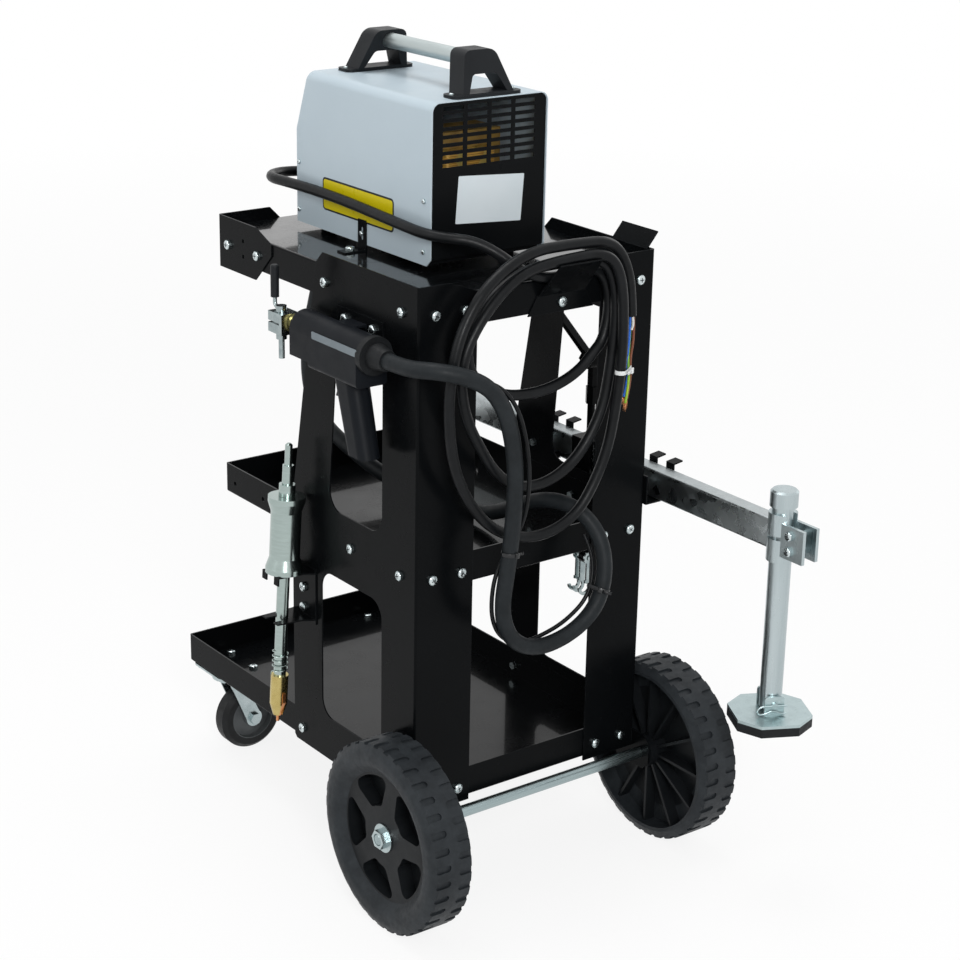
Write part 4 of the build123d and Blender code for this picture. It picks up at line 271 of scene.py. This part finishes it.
def wound_wire(name, shade, dull):
    # turns of enamelled wire that lie over each other, with bands of tape
    finish, tree, skin, place = start_finish(name)
    turns = tree.nodes.new("ShaderNodeTexWave")
    turns.wave_type = "BANDS"
    turns.bands_direction = "Z"
    turns.inputs["Scale"].default_value = 110.0
    turns.inputs["Distortion"].default_value = 1.5
    tree.links.new(place, turns.inputs["Vector"])
    wire = two_shades(tree, turns.outputs["Fac"], dull, shade)
    tape = graded(tree, cloud(tree, place, 38.0, 2.0, 0.4, (1.6, 1.0, 0.7)), 0.0, 1.0, 0.52, 0.56)
    tree.links.new(two_shades(tree, tape, wire, (0.78, 0.60, 0.16)), skin.inputs["Base Color"])
    skin.inputs["Metallic"].default_value = 0.25
    smear = graded(tree, cloud(tree, place, 120.0), 0.3, 0.5)
    tree.links.new(smear, skin.inputs["Roughness"])
    raise_grain(tree, skin, turns.outputs["Fac"], 0.5, 0.0006)
    return finish


# the pale shade of the painted highlight on the edges of the black coats
edge_highlight_black = (0.03, 0.033, 0.036)
trolley_black = ((0.0022, 0.0026, 0.003), (0.0032, 0.0037, 0.0042), edge_highlight_black, 0.22, 0.05)
coat_black = powder_coat("coat_black", *trolley_black)
coat_deck = powder_coat("coat_deck", *trolley_black, polish=1.0)
coat_shelf = powder_coat("coat_shelf", *trolley_black, polish=0.4)
coat_silver = powder_coat(
    "coat_silver", (0.445, 0.53, 0.585), (0.465, 0.55, 0.605), (0.60, 0.68, 0.72), 0.36, 0.35, 1100.0
)
coat_rear = powder_coat("coat_rear", (0.0025, 0.003, 0.0035), (0.004, 0.0046, 0.0052), edge_highlight_black, 0.3, 0.06)
plastic_black = moulded("plastic_black", (0.008, 0.0092, 0.0108), (0.012, 0.0138, 0.016), 0.42, 0.15)
plastic_gun = moulded("plastic_gun", (0.004, 0.005, 0.0068), (0.007, 0.0085, 0.011), 0.4, 0.1)
plastic_rim = moulded("plastic_rim", (0.0055, 0.0065, 0.0075), (0.01, 0.0115, 0.013), 0.4, 0.12)
plastic_board = moulded("plastic_board", (0.02, 0.10, 0.045), (0.03, 0.14, 0.06), 0.4)
rubber_tyre = wheel_rubber("rubber_tyre", (0.014, 0.0165, 0.019), (0.031, 0.036, 0.0405), 0.5, 0.16)
rubber_pad = wheel_rubber("rubber_pad", (0.005, 0.0058, 0.0066), (0.01, 0.0115, 0.013), 0.55)
rubber_cord = wheel_rubber("rubber_cord", (0.003, 0.0035, 0.004), (0.007, 0.008, 0.0092), 0.36, 0.16)
rubber_gun_cord = wheel_rubber("rubber_gun_cord", (0.008, 0.010, 0.0115), (0.016, 0.0195, 0.022), 0.5, 0.16)
tread_gun_side = caster_tread("tread_gun_side", 1)
tread_beam_side = caster_tread("tread_beam_side", -1)
zinc = plated("zinc", (0.50, 0.57, 0.58), (0.37, 0.44, 0.45), 0.3)
zinc_head = plated("zinc_head", (0.66, 0.72, 0.73), (0.52, 0.59, 0.60), 0.22, None, 420.0, 180.0)
zinc_clamp = plated("zinc_clamp", (0.42, 0.48, 0.48), (0.26, 0.31, 0.32), 0.22)
zinc_leg = plated("zinc_leg", (0.50, 0.565, 0.58), (0.40, 0.465, 0.48), 0.32, (1.0, 1.0, 0.06))
zinc_foot = plated("zinc_foot", (0.47, 0.565, 0.575), (0.38, 0.465, 0.475), 0.34)
steel_beam = galvanised("steel_beam", (0.50, 0.54, 0.55), (0.28, 0.31, 0.32), 0.3)
steel_turned = plated(
    "steel_turned", (0.40, 0.475, 0.455), (0.35, 0.42, 0.40), 0.2, (0.4, 0.4, 3.0), 900.0, 90.0, 0.025
)
steel_axle = plated("steel_axle", (0.40, 0.48, 0.49), (0.27, 0.34, 0.35), 0.28, (0.05, 3.0, 3.0))
steel_tube = plated("steel_tube", (0.50, 0.555, 0.555), (0.44, 0.49, 0.49), 0.4, (1.0, 0.05, 1.0))
core_varnish = moulded("core_varnish", (0.40, 0.25, 0.06), (0.20, 0.12, 0.03), 0.35, 0.4, 800.0, 0.0003)
brass_turned = plated("brass_turned", (0.58, 0.48, 0.20), (0.44, 0.34, 0.12), 0.26)
copper_bar = plated("copper_bar", (0.72, 0.34, 0.16), (0.55, 0.22, 0.09), 0.32)
winding_amber = wound_wire("winding_amber", (0.86, 0.52, 0.10), (0.50, 0.24, 0.04))
print_grain = (900.0, 0.00004)
plate_yellow = moulded("plate_yellow", (0.60, 0.50, 0.005), (0.64, 0.53, 0.007), 0.3, 0.12, *print_grain)
plate_white = moulded("plate_white", (0.63, 0.70, 0.735), (0.67, 0.735, 0.77), 0.36, 0.2, *print_grain)
plate_dark = moulded("plate_dark", (0.008, 0.009, 0.01), (0.013, 0.0145, 0.016), 0.3, 0.15, *print_grain)
plate_grey = moulded("plate_grey", (0.14, 0.17, 0.19), (0.17, 0.20, 0.22), 0.34, 0.2, *print_grain)
# dark colour painted as the shade inside the heads' cross recesses
painted_recess_shade = plated("painted_recess_shade", (0.09, 0.10, 0.105), (0.05, 0.056, 0.06), 0.4)
mark_white = moulded("mark_white", (0.62, 0.64, 0.65), (0.70, 0.72, 0.73), 0.4, 0.3, *print_grain)
tie_white = moulded("tie_white", (0.66, 0.68, 0.68), (0.74, 0.76, 0.76), 0.35, 0.4)
tie_black = moulded("tie_black", (0.006, 0.0066, 0.0075), (0.011, 0.012, 0.0135), 0.3, 0.4)
wire_blue = moulded("wire_blue", (0.02, 0.11, 0.50), (0.03, 0.15, 0.60), 0.35, 0.4)
wire_brown = moulded("wire_brown", (0.15, 0.045, 0.018), (0.20, 0.062, 0.026), 0.35, 0.4)
wire_earth = moulded("wire_earth", (0.58, 0.62, 0.02), (0.07, 0.38, 0.04), 0.35, 0.4, 300.0)
wire_filler = moulded("wire_filler", (0.60, 0.58, 0.54), (0.70, 0.68, 0.63), 0.6, 0.2)

wearing = {
    coat_deck: "top_tray",
    coat_shelf: "middle_tray bottom_tray",
    coat_black: "side_panel_gun_side side_panel_beam_side corner_guards cable_hook hammer_bracket gun_hanger"
    " beam_cradles machine_strap puller_carriage puller_lever",
    coat_silver: "machine_cover",
    coat_rear: "rear_panel machine_base front_panel",
    plastic_black: "handle_supports cable_glands lever_grip power_switch setting_knob",
    plastic_gun: "gun_housing gun_trigger",
    plastic_rim: "wheel_rim_gun_side wheel_rim_beam_side",
    tread_gun_side: "caster_wheel_gun_side",
    tread_beam_side: "caster_wheel_beam_side",
    plastic_board: "control_board",
    rubber_tyre: "tyre_gun_side tyre_beam_side",
    rubber_pad: "foot_pad gun_rear_bush",
    rubber_cord: "mains_cable mains_coil",
    rubber_gun_cord: "gun_cable",
    zinc: "fasteners machine_screws caster_plates caster_fork_gun_side caster_fork_beam_side",
    zinc_clamp: "gun_clamp clamp_lever hook_claw",
    zinc_leg: "support_leg leg_collar",
    zinc_foot: "foot_plate foot_pin",
    steel_beam: "pull_beam",
    steel_turned: "hammer_weight hammer_rod stop_collar hammer_spring",
    steel_axle: "rear_axle",
    steel_tube: "handle_tube",
    core_varnish: "transformer_core",
    winding_amber: "transformer_windings",
    copper_bar: "copper_tip",
    brass_turned: "gun_collar electrode_holder",
}
for finish, names in wearing.items():
    for name in names.split():
        nodes[name].data.materials.clear()
        nodes[name].data.materials.append(finish)


# Cords: one smooth line each, drawn along the points of its route
def lay_cord(name, points, diameter, finish, body, sides=5):
    line = bpy.data.curves.new(name, "CURVE")
    line.dimensions = "3D"
    run = line.splines.new("NURBS")
    run.points.add(len(points) - 1)
    for spot, point in zip(run.points, points):
        spot.co = (point[0] * mm, point[1] * mm, point[2] * mm, 1.0)
    run.order_u = 3
    run.use_endpoint_u = True
    run.resolution_u = 6
    line.bevel_depth = diameter * mm / 2
    line.bevel_resolution = sides
    line.use_fill_caps = True
    cord = bpy.data.objects.new(name, line)
    cord.data.materials.append(finish)
    bpy.context.scene.collection.objects.link(cord)
    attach(cord, body)
    return cord


mains_thick, gun_cord_thick, wire_thick, core_thick = 14, 21, 5.5, 3.4
mains_route = [
    # from the front panel round the gun side of the machine to the hook
    (6, -427.5, 872), (6, -453, 873), (37, -482, 875), (83, -483, 878), (115, -452, 880), (112, -405, 881),
    (109, -340, 881), (109.5, -268, 880), (112, -198, 878), (115, -132, 876), (114, -86, 874), (95, -58, 872),
    (73, -42, 869), (50, -23, 855), (28, -6, 834), (2, 8, 823), (-42, 8, 823), (-60, 8, 824), (-83, 8, 825),
    # the small loop
    (-98, 9.5, 807), (-102, 11.5, 778), (-97, 13, 748), (-88, 15, 730), (-78, 16, 722), (-52, 17, 699),
    (-16, 17, 685), (24, 18, 681), (66, 18, 686), (103, 19, 703), (126, 19, 733), (124, 18, 768),
    (102, 16, 803), (66, 14, 828), (28, 12, 840), (-6, 12, 841), (-44, 12, 841), (-70, 13, 841),
    # the middle loop
    (-89, 20, 833), (-99, 26, 804), (-100, 28, 760), (-93, 28, 698), (-85, 28, 652), (-67, 27, 614),
    (-42, 27, 585), (-10, 27.5, 567), (26, 28.5, 562), (62, 30, 571), (92, 31.5, 597), (116, 33, 634),
    (135, 34, 668), (146, 35, 706), (145, 35, 748), (124, 34, 786), (89, 31, 820), (50, 29, 842),
    (10, 28, 848), (-34, 28, 850), (-64, 29, 850.5),
    # the large loop
    (-86, 35, 843.5), (-96, 41, 816), (-100, 43, 764), (-99, 43, 702), (-94, 41, 648), (-85, 39, 594),
    (-66, 36, 548), (-39, 36, 513), (4, 36, 497), (50, 37, 500), (96, 37, 522), (132, 37, 562),
    (156, 37, 612), (165, 37, 668), (164, 37, 724), (151, 37, 781), (119, 34, 826), (73, 28, 854),
    (26, 22, 865), (-14, 20, 865),
    # the loose end
    (-54, 20, 864), (-86, 20, 862), (-107, 21, 849), (-120, 24, 822), (-124, 27, 790), (-125, 28, 762),
]
gun_route = [
    # from the gun down into the hanging loop
    (215, -20, 745), (215, 20, 745), (196, 53, 748), (164, 71, 740), (132, 74, 722), (109, 74, 692),
    (95, 72, 652), (87, 70, 608), (85, 67, 562), (87, 65, 516), (91, 63, 472), (96, 61, 432), (91, 60, 397),
    (71, 60, 369), (37, 60, 355), (-2, 60, 358), (-36, 60, 371), (-61, 60, 394), (-74, 57, 427),
    (-78, 48, 462),
    # along the middle tray and up to the front panel
    (-72, 32, 492), (-58, 12, 512), (-46, -14, 517), (-38, -50, 507), (-34, -92, 484), (-32, -136, 463),
    (-24, -184, 455), (-6, -232, 457), (16, -280, 470), (34, -328, 490), (43, -376, 508), (45, -424, 524),
    (38, -466, 548), (26, -498, 584), (10, -518, 630), (-8, -528, 678), (-22, -531, 722), (-31, -530, 762),
    (-36, -524, 795), (-38, -510, 828), (-39, -485, 854), (-40, -454, 868), (-40, -427.5, 868),
]
wire_route = [
    # close to the gun cord, and behind it at the upper tie and at the foot of the loop
    (201, -19.5, 740.6), (200.2, 6, 740.2), (194.1, 30.8, 739.3), (180.9, 44.6, 738), (161.7, 55.4, 733.3),
    (137.7, 58.2, 728.9), (110, 67.7, 718), (95, 81, 693.7), (81, 81.3, 653), (73.3, 80.4, 609.5),
    (71.3, 77, 574.4), (70.7, 69.8, 544), (73.1, 59.7, 519), (80.1, 51.8, 499.6), (90.3, 48.4, 480.6),
    (100.6, 50.2, 461.7), (106.2, 52.3, 438), (105, 51.8, 410.6), (91.4, 47.6, 383), (66.7, 45.3, 364),
    (39.8, 44.7, 360.2), (15.2, 46.7, 365), (-8.6, 48.3, 372.5), (-30, 48.2, 383), (-46.4, 49.3, 396.5),
    (-57.1, 49, 414.4), (-63.6, 44.8, 434.8), (-66.1, 37.3, 457.5), (-62, 26.5, 478.5),
]
mains_cord = lay_cord("mains_cord", mains_route, mains_thick, rubber_cord, "trolley")
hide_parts("mains_cable", "mains_coil")
gun_cord = lay_cord("gun_cord", gun_route, gun_cord_thick, rubber_gun_cord, "trolley")
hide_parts("gun_cable")
control_wire = lay_cord("control_wire", wire_route, wire_thick, rubber_cord, "trolley", 3)

# Stripped end of the mains lead
core_ends = [
    (
        "core_blue", wire_blue,
        [(-122.5, 29, 768), (-121.5, 31, 735), (-119, 30, 708), (-119.5, 34, 682), (-114, 33, 658)],
    ),
    (
        "core_brown", wire_brown,
        [(-126, 31, 768), (-126.5, 34, 735), (-121.5, 33, 708), (-124, 34, 680), (-118, 34, 654)],
    ),
    (
        "core_earth", wire_earth,
        [(-126, 26.5, 768), (-125, 27, 735), (-120, 31, 708), (-118, 38, 678), (-115, 35, 650)],
    ),
    ("core_filler", wire_filler, [(-124, 31, 768), (-124.3, 33, 757), (-124, 33.5, 750), (-123, 32, 745)]),
]
for name, finish, points in core_ends:
    core = lay_cord(name, points, core_thick, finish, "trolley", 3)


# Small pieces
def finished_piece(form, name, finish, body, smooth=False):
    bmesh.ops.recalc_face_normals(form, faces=form.faces[:])
    mesh = bpy.data.meshes.new(name)
    form.to_mesh(mesh)
    form.free()
    if smooth:
        mesh.shade_smooth()
    mesh.materials.append(finish)
    piece = bpy.data.objects.new(name, mesh)
    bpy.context.scene.collection.objects.link(piece)
    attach(piece, body)
    return piece


def standing(origin, across, up):
    # a frame at a point in millimetres, with its own x along across and y along up
    across, up = Vector(across).normalized(), Vector(up).normalized()
    return axes_at(Vector(origin) * mm, across, up, across.cross(up))


def add_plate(form, place, width, height, corner, thick):
    face = bmesh.new()
    bmesh.ops.create_grid(face, x_segments=1, y_segments=1, size=0.5)
    bmesh.ops.scale(face, vec=(width * mm, height * mm, 1), verts=face.verts)
    bmesh.ops.bevel(
        face, geom=face.verts[:], offset=corner * mm, segments=6, profile=0.5, affect="VERTICES", material=-1
    )
    bmesh.ops.solidify(face, geom=face.faces[:], thickness=-thick * mm)
    bmesh.ops.transform(face, matrix=place, verts=face.verts)
    sheet = bpy.data.meshes.new("sheet")
    face.to_mesh(sheet)
    face.free()
    form.from_mesh(sheet)
    bpy.data.meshes.remove(sheet)


def thin_plate(name, place, width, height, corner, thick, finish, body):
    form = bmesh.new()
    add_plate(form, place, width, height, corner, thick)
    return finished_piece(form, name, finish, body)


gun_side = ((0, 1, 0), (0, 0, 1))
front_side = ((1, 0, 0), (0, 0, 1))
rear_tilt = ((-0.9975, 0, -0.07), (-0.07, 0, 0.9975))
thin_plate(
    "side_plate_rim", standing((99.52, -258.5, 877.5), *gun_side), 164, 43.5, 6, 0.35,
    plate_dark, "trolley",
)
thin_plate(
    "side_plate", standing((99.8, -258.5, 877.5), *gun_side), 159, 38.5, 4, 0.3,
    plate_yellow, "trolley",
)
thin_plate(
    "rear_plate", standing((7.4, -98.48, 904.4), *rear_tilt), 102.5, 60, 1.5, 0.35,
    plate_white, "trolley",
)
thin_plate(
    "gun_strip", standing((237.9, -103.3, 749.6), *gun_side), 100, 9.5, 2, 0.5,
    plate_grey, "trolley",
)

# Pointers on the two knobs, and the marks round them
setting_x, power_x, knob_z = -34, 54, 928
panel_face_y, knob_face_y = -401.45, -416.1
pointer_rise, tick_reach, tick_thick = 6.5, 20, 0.3
ticks, tick_turn, long_tick, short_tick = 11, 27, 4.5, 3.2
power_stops = (0, 90)
for name, knob_x, body in (
    ("power_pointer", power_x, "power_knob"), ("setting_pointer", setting_x, "setting_dial"),
):
    spot = (knob_x, knob_face_y, knob_z + pointer_rise)
    thin_plate(name, standing(spot, *front_side), 2, 11, 0.9, 0.4, mark_white, body)


def add_tick(form, knob_x, degrees, width, height, corner):
    turn = math.radians(degrees)
    out = Vector((math.sin(turn), 0, math.cos(turn)))
    across = Vector((math.cos(turn), 0, -math.sin(turn)))
    spot = Vector((knob_x, panel_face_y, knob_z)) + out * tick_reach
    add_plate(form, standing(spot, across, out), width, height, corner, tick_thick)


def dial_marks():
    # round the setting knob and beside the power switch, anticlockwise as both knobs turn
    form = bmesh.new()
    for step in range(ticks):
        height = long_tick if step % 5 == 0 else short_tick
        add_tick(form, setting_x, step * -tick_turn, 1.2, height, 0.4)
    for stop in power_stops:
        add_tick(form, power_x, -stop, 1.6, long_tick, 0.5)
    return finished_piece(form, "dial_marks", mark_white, "trolley")


dial_marks()


# Cable ties, in millimetres and degrees
tie_gap, tie_half_thick = 0.9, 0.55
tie_head_long, tie_head_tall, tie_head_wider, tie_head_round = 6.0, 4.2, 3.0, 0.8
tie_tail_long, tie_tail_thick, tie_tail_out, tie_tail_lift = 14.0, 1.1, 8.0, 0.4
eighth = 45.0


def tie_round(first, first_radius, second, second_radius):
    # eight points of a smooth loop round two strands cut across by the tie's plane
    first, second = Vector(first), Vector(second)
    along = (first - second).normalized()
    aside = Vector((-along.y, along.x))
    spots = []
    for middle, radius, steps in (
        (first, first_radius, (1.5, 0.5, -0.5, -1.5)), (second, second_radius, (-2.5, -3.5, 3.5, 2.5)),
    ):
        reach = (radius + tie_gap) / math.cos(math.radians(eighth / 2))
        for step in steps:
            turn = math.radians(step * eighth)
            spots.append(middle + (along * math.cos(turn) + aside * math.sin(turn)) * reach)
    return spots


def cable_tie(name, place, around, wide, head_at, finish):
    # a flat band on the points in its own plane, with a square head and a cut tail
    line = bpy.data.curves.new(name, "CURVE")
    line.dimensions = "2D"
    line.fill_mode = "NONE"
    run = line.splines.new("NURBS")
    run.points.add(len(around) - 1)
    for spot, point in zip(run.points, around):
        spot.co = (point[0] * mm, point[1] * mm, 0, 1.0)
    run.order_u = 3
    run.use_cyclic_u = True
    run.resolution_u = 8
    line.extrude = wide / 2 * mm
    line.bevel_depth = tie_half_thick * mm
    line.bevel_resolution = 1
    loop = bpy.data.objects.new(name, line)
    band = bpy.data.meshes.new_from_object(loop)
    bpy.data.objects.remove(loop)
    bpy.data.curves.remove(line)
    form = bmesh.new()
    form.from_mesh(band)
    bpy.data.meshes.remove(band)
    (x, y), turn = head_at
    at_head = Matrix.Translation(Vector((x * mm, y * mm, 0))) @ Matrix.Rotation(math.radians(turn), 4, "Z")
    head_size = Matrix.Diagonal((tie_head_long * mm, tie_head_tall * mm, (wide + tie_head_wider) * mm, 1))
    head = bmesh.ops.create_cube(form, size=1.0, matrix=at_head @ head_size)
    corners = set(head["verts"])
    edges = [edge for edge in form.edges if corners.issuperset(edge.verts)]
    bmesh.ops.bevel(
        form, geom=edges, offset=tie_head_round * mm, segments=2, profile=0.5, affect="EDGES", material=-1
    )
    at_tail = at_head @ Matrix.Translation(Vector((tie_tail_out * mm, tie_tail_lift * mm, 0)))
    tail_size = Matrix.Diagonal((tie_tail_long * mm, tie_tail_thick * mm, wide * mm, 1))
    bmesh.ops.create_cube(form, size=1.0, matrix=at_tail @ tail_size)
    bmesh.ops.transform(form, matrix=place, verts=form.verts)
    return finished_piece(form, name, finish, "trolley", True)


coil_tie = cable_tie(
    "coil_tie", standing((-110, 36, 696), (1, 0, 0), (0, 1, 0)),
    tie_round((11.2, 7), mains_thick / 2, (-10, -5.5), 4.2), 4.4, ((-4, 10.2), 30), tie_white,
)
upper_tie = cable_tie(
    "upper_tie", standing((89.6, 64, 498), (0.996, 0, 0.09), (0, 1, 0)),
    tie_round((0, 0), gun_cord_thick / 2, (-8.4, -12.4), wire_thick / 2), 4.0, ((-4.2, 11.9), 200), tie_black,
)
lower_tie = cable_tie(
    "lower_tie", standing((-66.6, 58.8, 412), (0.93, 0, 0.36), (0, 1, 0)),
    tie_round((0, 0), gun_cord_thick / 2, (10.6, -10.2), wire_thick / 2), 4.0, ((8.9, 8.9), 135), tie_black,
)


def spring_clip():
    # a bent wire clip through the end of the foot's pin
    pin_middle, pin_way, pin_reach = Vector((-218.5, 227, 280)), Vector((0.454, 0.891, 0)), 19.9
    clip_thick = 2.4
    middle = pin_middle + pin_way * pin_reach
    across = Vector((0.891, -0.454, 0))
    bends = [
        (-16, 0), (-6, 0), (6, 0), (16, 0), (22, -3), (23.5, -8), (19, -12), (12, -10.5), (5, -7), (-1, -7.5),
        (-8, -11.5), (-15, -11),
    ]
    route = [middle + across * x + Vector((0, 0, z)) for x, z in bends]
    clip = lay_cord("foot_clip", route, clip_thick, zinc_foot, "foot", 3)


spring_clip()


def turned_to(way):
    # turns a form's own z along a way
    return way.to_track_quat("Z", "Y").to_matrix().to_4x4()


def frayed_copper():
    # bare strands at the ends of the cores
    strands, strand_spread, strand_splay = 7, 0.8, 0.16
    shortest, longer_by, root_radius, end_radius = 9, 1.3, 0.4, 0.3
    form = bmesh.new()
    for tip, way in (
        ((-114, 33, 658), (5, 0, -24)), ((-118, 34, 654), (5, 1, -26)), ((-115, 35, 650), (2, -2, -28)),
    ):
        for step in range(strands):
            turn = step * 2 * math.pi / strands
            spread = Vector((math.cos(turn), math.sin(turn), 0)) * (0.0 if step == 0 else strand_spread)
            start = Vector(tip) + spread
            length = shortest + longer_by * (step % 3)
            line = (Vector(way).normalized() + spread * strand_splay).normalized() * length
            spot = Matrix.Translation((start + line / 2) * mm) @ turned_to(line)
            bmesh.ops.create_cone(
                form, cap_ends=True, segments=6, radius1=root_radius * mm, radius2=end_radius * mm,
                depth=line.length * mm, matrix=spot,
            )
    return finished_piece(form, "bare_strands", copper_bar, "trolley", True)


frayed_copper()

# Domes on the bolt and screw heads, and dark crosses of painted shade for their cross recesses, as shares of
# a head's radius
bolt_radius, screw_radius = 6.2, 3.2
dome_rise, cross_rise = 0.3, 0.265
cross_size = (0.95, 0.2, 0.09, 1)
head_turn = 0.83


def driven_heads():
    left, right, back, front, top = (1, 0, 0), (-1, 0, 0), (0, 1, 0), (0, -1, 0), (0, 0, 1)
    bolts = [((x, 3.5, z), back) for x in (-161, -116, 116, 161) for z in (798, 457, 154)]
    bolts += [((-33, 3.5, 788), back), ((-137, -470.5, 798), front), ((137, -470.5, 798), front)]
    panel_spots = [(y, 798) for y in (-34, -204, -367, -441)]
    panel_spots += [(-34, 457), (-145, 457), (-34, 154), (-264, 154)]
    for y, z in panel_spots:
        bolts += [((188.5, y, z), left), ((-188.5, y, z), right)]
    bolts += [((190.5, y, z), left) for y, z in ((-256, 367), (-256, 338), (-154, 763), (-92, 763))]
    bolts += [((-190.5, y, 509), right) for y in (-19.5, -234)]
    bolts += [((x, y, 142.5), top) for x in (-173, -123, 123, 173) for y in (-564, -500)]
    bolts += [((119.5, -246, 825.5), top), ((-201, 255, 497.5), left), ((-201, 255, 518.5), left)]
    screws = [((103.1, -246, 842), left)]
    for y in (-398, -111):
        for z in (845, 909):
            screws += [((101.1, y, z), left), ((-81.1, y, z), right)]
    screws += [((x, y, 1037.6), top) for x in (-37, 57) for y in (-350, -115)]
    domes, cross_shades = bmesh.new(), bmesh.new()
    low = Matrix.Diagonal((1, 1, dome_rise, 1))
    for heads, radius in ((bolts, bolt_radius * mm), (screws, screw_radius * mm)):
        raised = Matrix.Translation((0, 0, cross_rise * radius))
        for count, (spot, way) in enumerate(heads):
            set_down = Matrix.Translation(Vector(spot) * mm) @ turned_to(Vector(way))
            bmesh.ops.create_uvsphere(
                domes, u_segments=20, v_segments=8, radius=radius, matrix=set_down @ low
            )
            # each head stopped at its own angle when it was driven home
            driven = set_down @ Matrix.Rotation(count * head_turn, 4, "Z") @ raised
            # two dark bars of painted shade where the cross recess is
            for quarter in (0, math.pi / 2):
                bar = Matrix.Rotation(quarter, 4, "Z") @ Matrix.Diagonal(cross_size)
                bmesh.ops.create_cube(cross_shades, size=radius, matrix=driven @ bar)
    finished_piece(domes, "head_domes", zinc_head, "trolley", True)
    finished_piece(cross_shades, "head_cross_shades", painted_recess_shade, "trolley")


driven_heads()


# Stage: a pale floor and soft lamps
def seen_directly(tree):
    # 1 for what the camera, gloss or glass sees, 0 for the light that falls on things
    rays = tree.nodes.new("ShaderNodeLightPath")
    either = sum_of(tree, "MAXIMUM", rays.outputs["Is Camera Ray"], rays.outputs["Is Glossy Ray"])
    return sum_of(tree, "MAXIMUM", either, rays.outputs["Is Transmission Ray"])


def soft_lamp(name, spot, aim, power, size):
    lamp = bpy.data.lights.new(name, "AREA")
    lamp.energy = power
    lamp.shape = "DISK"
    lamp.size = size
    holder = bpy.data.objects.new(name, lamp)
    holder.location = spot
    holder.rotation_euler = (Vector(aim) - Vector(spot)).to_track_quat("-Z", "Y").to_euler()
    bpy.context.scene.collection.objects.link(holder)


def set_stage():
    ground = bmesh.new()
    bmesh.ops.create_grid(ground, x_segments=1, y_segments=1, size=30.0)
    mesh = bpy.data.meshes.new("floor")
    ground.to_mesh(mesh)
    ground.free()
    floor = bpy.data.objects.new("floor", mesh)
    bpy.context.scene.collection.objects.link(floor)
    pale, tree, skin, place = start_finish("floor_pale")
    tone = graded(tree, cloud(tree, place, 3.0), 0.0, 1.0)
    tree.links.new(two_shades(tree, tone, (0.93, 0.93, 0.93), (0.94, 0.94, 0.94)), skin.inputs["Base Color"])
    skin.inputs["Roughness"].default_value = 0.9
    skin.inputs["Specular IOR Level"].default_value = 0.1
    white = tree.nodes.new("ShaderNodeEmission")
    white.inputs["Color"].default_value = (1, 1, 1, 1)
    white.inputs["Strength"].default_value = 1.0
    both = tree.nodes.new("ShaderNodeMixShader")
    # near the trolley a share of its shadow shows, and far out the floor is as white as the world
    near_white, near_reach, far_reach = 0.86, 1.2, 5.0
    distance = from_axle(tree, place, (0, -0.15, 0), (1, 1, 0))
    whiteness = graded(tree, distance, near_white, 1.0, near_reach, far_reach)
    tree.links.new(sum_of(tree, "MULTIPLY", seen_directly(tree), whiteness), both.inputs[0])
    tree.links.new(skin.outputs[0], both.inputs[1])
    tree.links.new(white.outputs[0], both.inputs[2])
    tree.links.new(both.outputs[0], tree.nodes["Material Output"].inputs["Surface"])
    mesh.materials.append(pale)

    world = bpy.data.worlds.new("studio")
    bpy.context.scene.world = world
    world.use_nodes = True
    tree = world.node_tree
    tree.nodes.clear()
    seen = tree.nodes.new("ShaderNodeBackground")
    seen.inputs["Strength"].default_value = 1.0
    seen.inputs["Color"].default_value = (1, 1, 1, 1)
    fill = tree.nodes.new("ShaderNodeBackground")
    fill.inputs["Strength"].default_value = 0.45
    fill.inputs["Color"].default_value = (1, 1, 1, 1)
    both = tree.nodes.new("ShaderNodeMixShader")
    tree.links.new(seen_directly(tree), both.inputs[0])
    tree.links.new(fill.outputs[0], both.inputs[1])
    tree.links.new(seen.outputs[0], both.inputs[2])
    out = tree.nodes.new("ShaderNodeOutputWorld")
    tree.links.new(both.outputs[0], out.inputs["Surface"])

    soft_lamp("key_lamp", (1.5, 2.8, 2.1), (0.0, -0.1, 0.7), 66.0, 1.0)
    soft_lamp("side_lamp", (3.0, -0.6, 2.2), (0.0, -0.1, 0.6), 14.0, 1.6)
    soft_lamp("beam_side_lamp", (-2.8, -0.6, 2.0), (0.0, -0.1, 0.6), 12.0, 1.6)
    soft_lamp("top_lamp", (0.2, -0.6, 3.6), (0.0, -0.2, 0.5), 42.0, 2.0)


set_stage()
bpy.context.scene.view_settings.view_transform = "Standard"
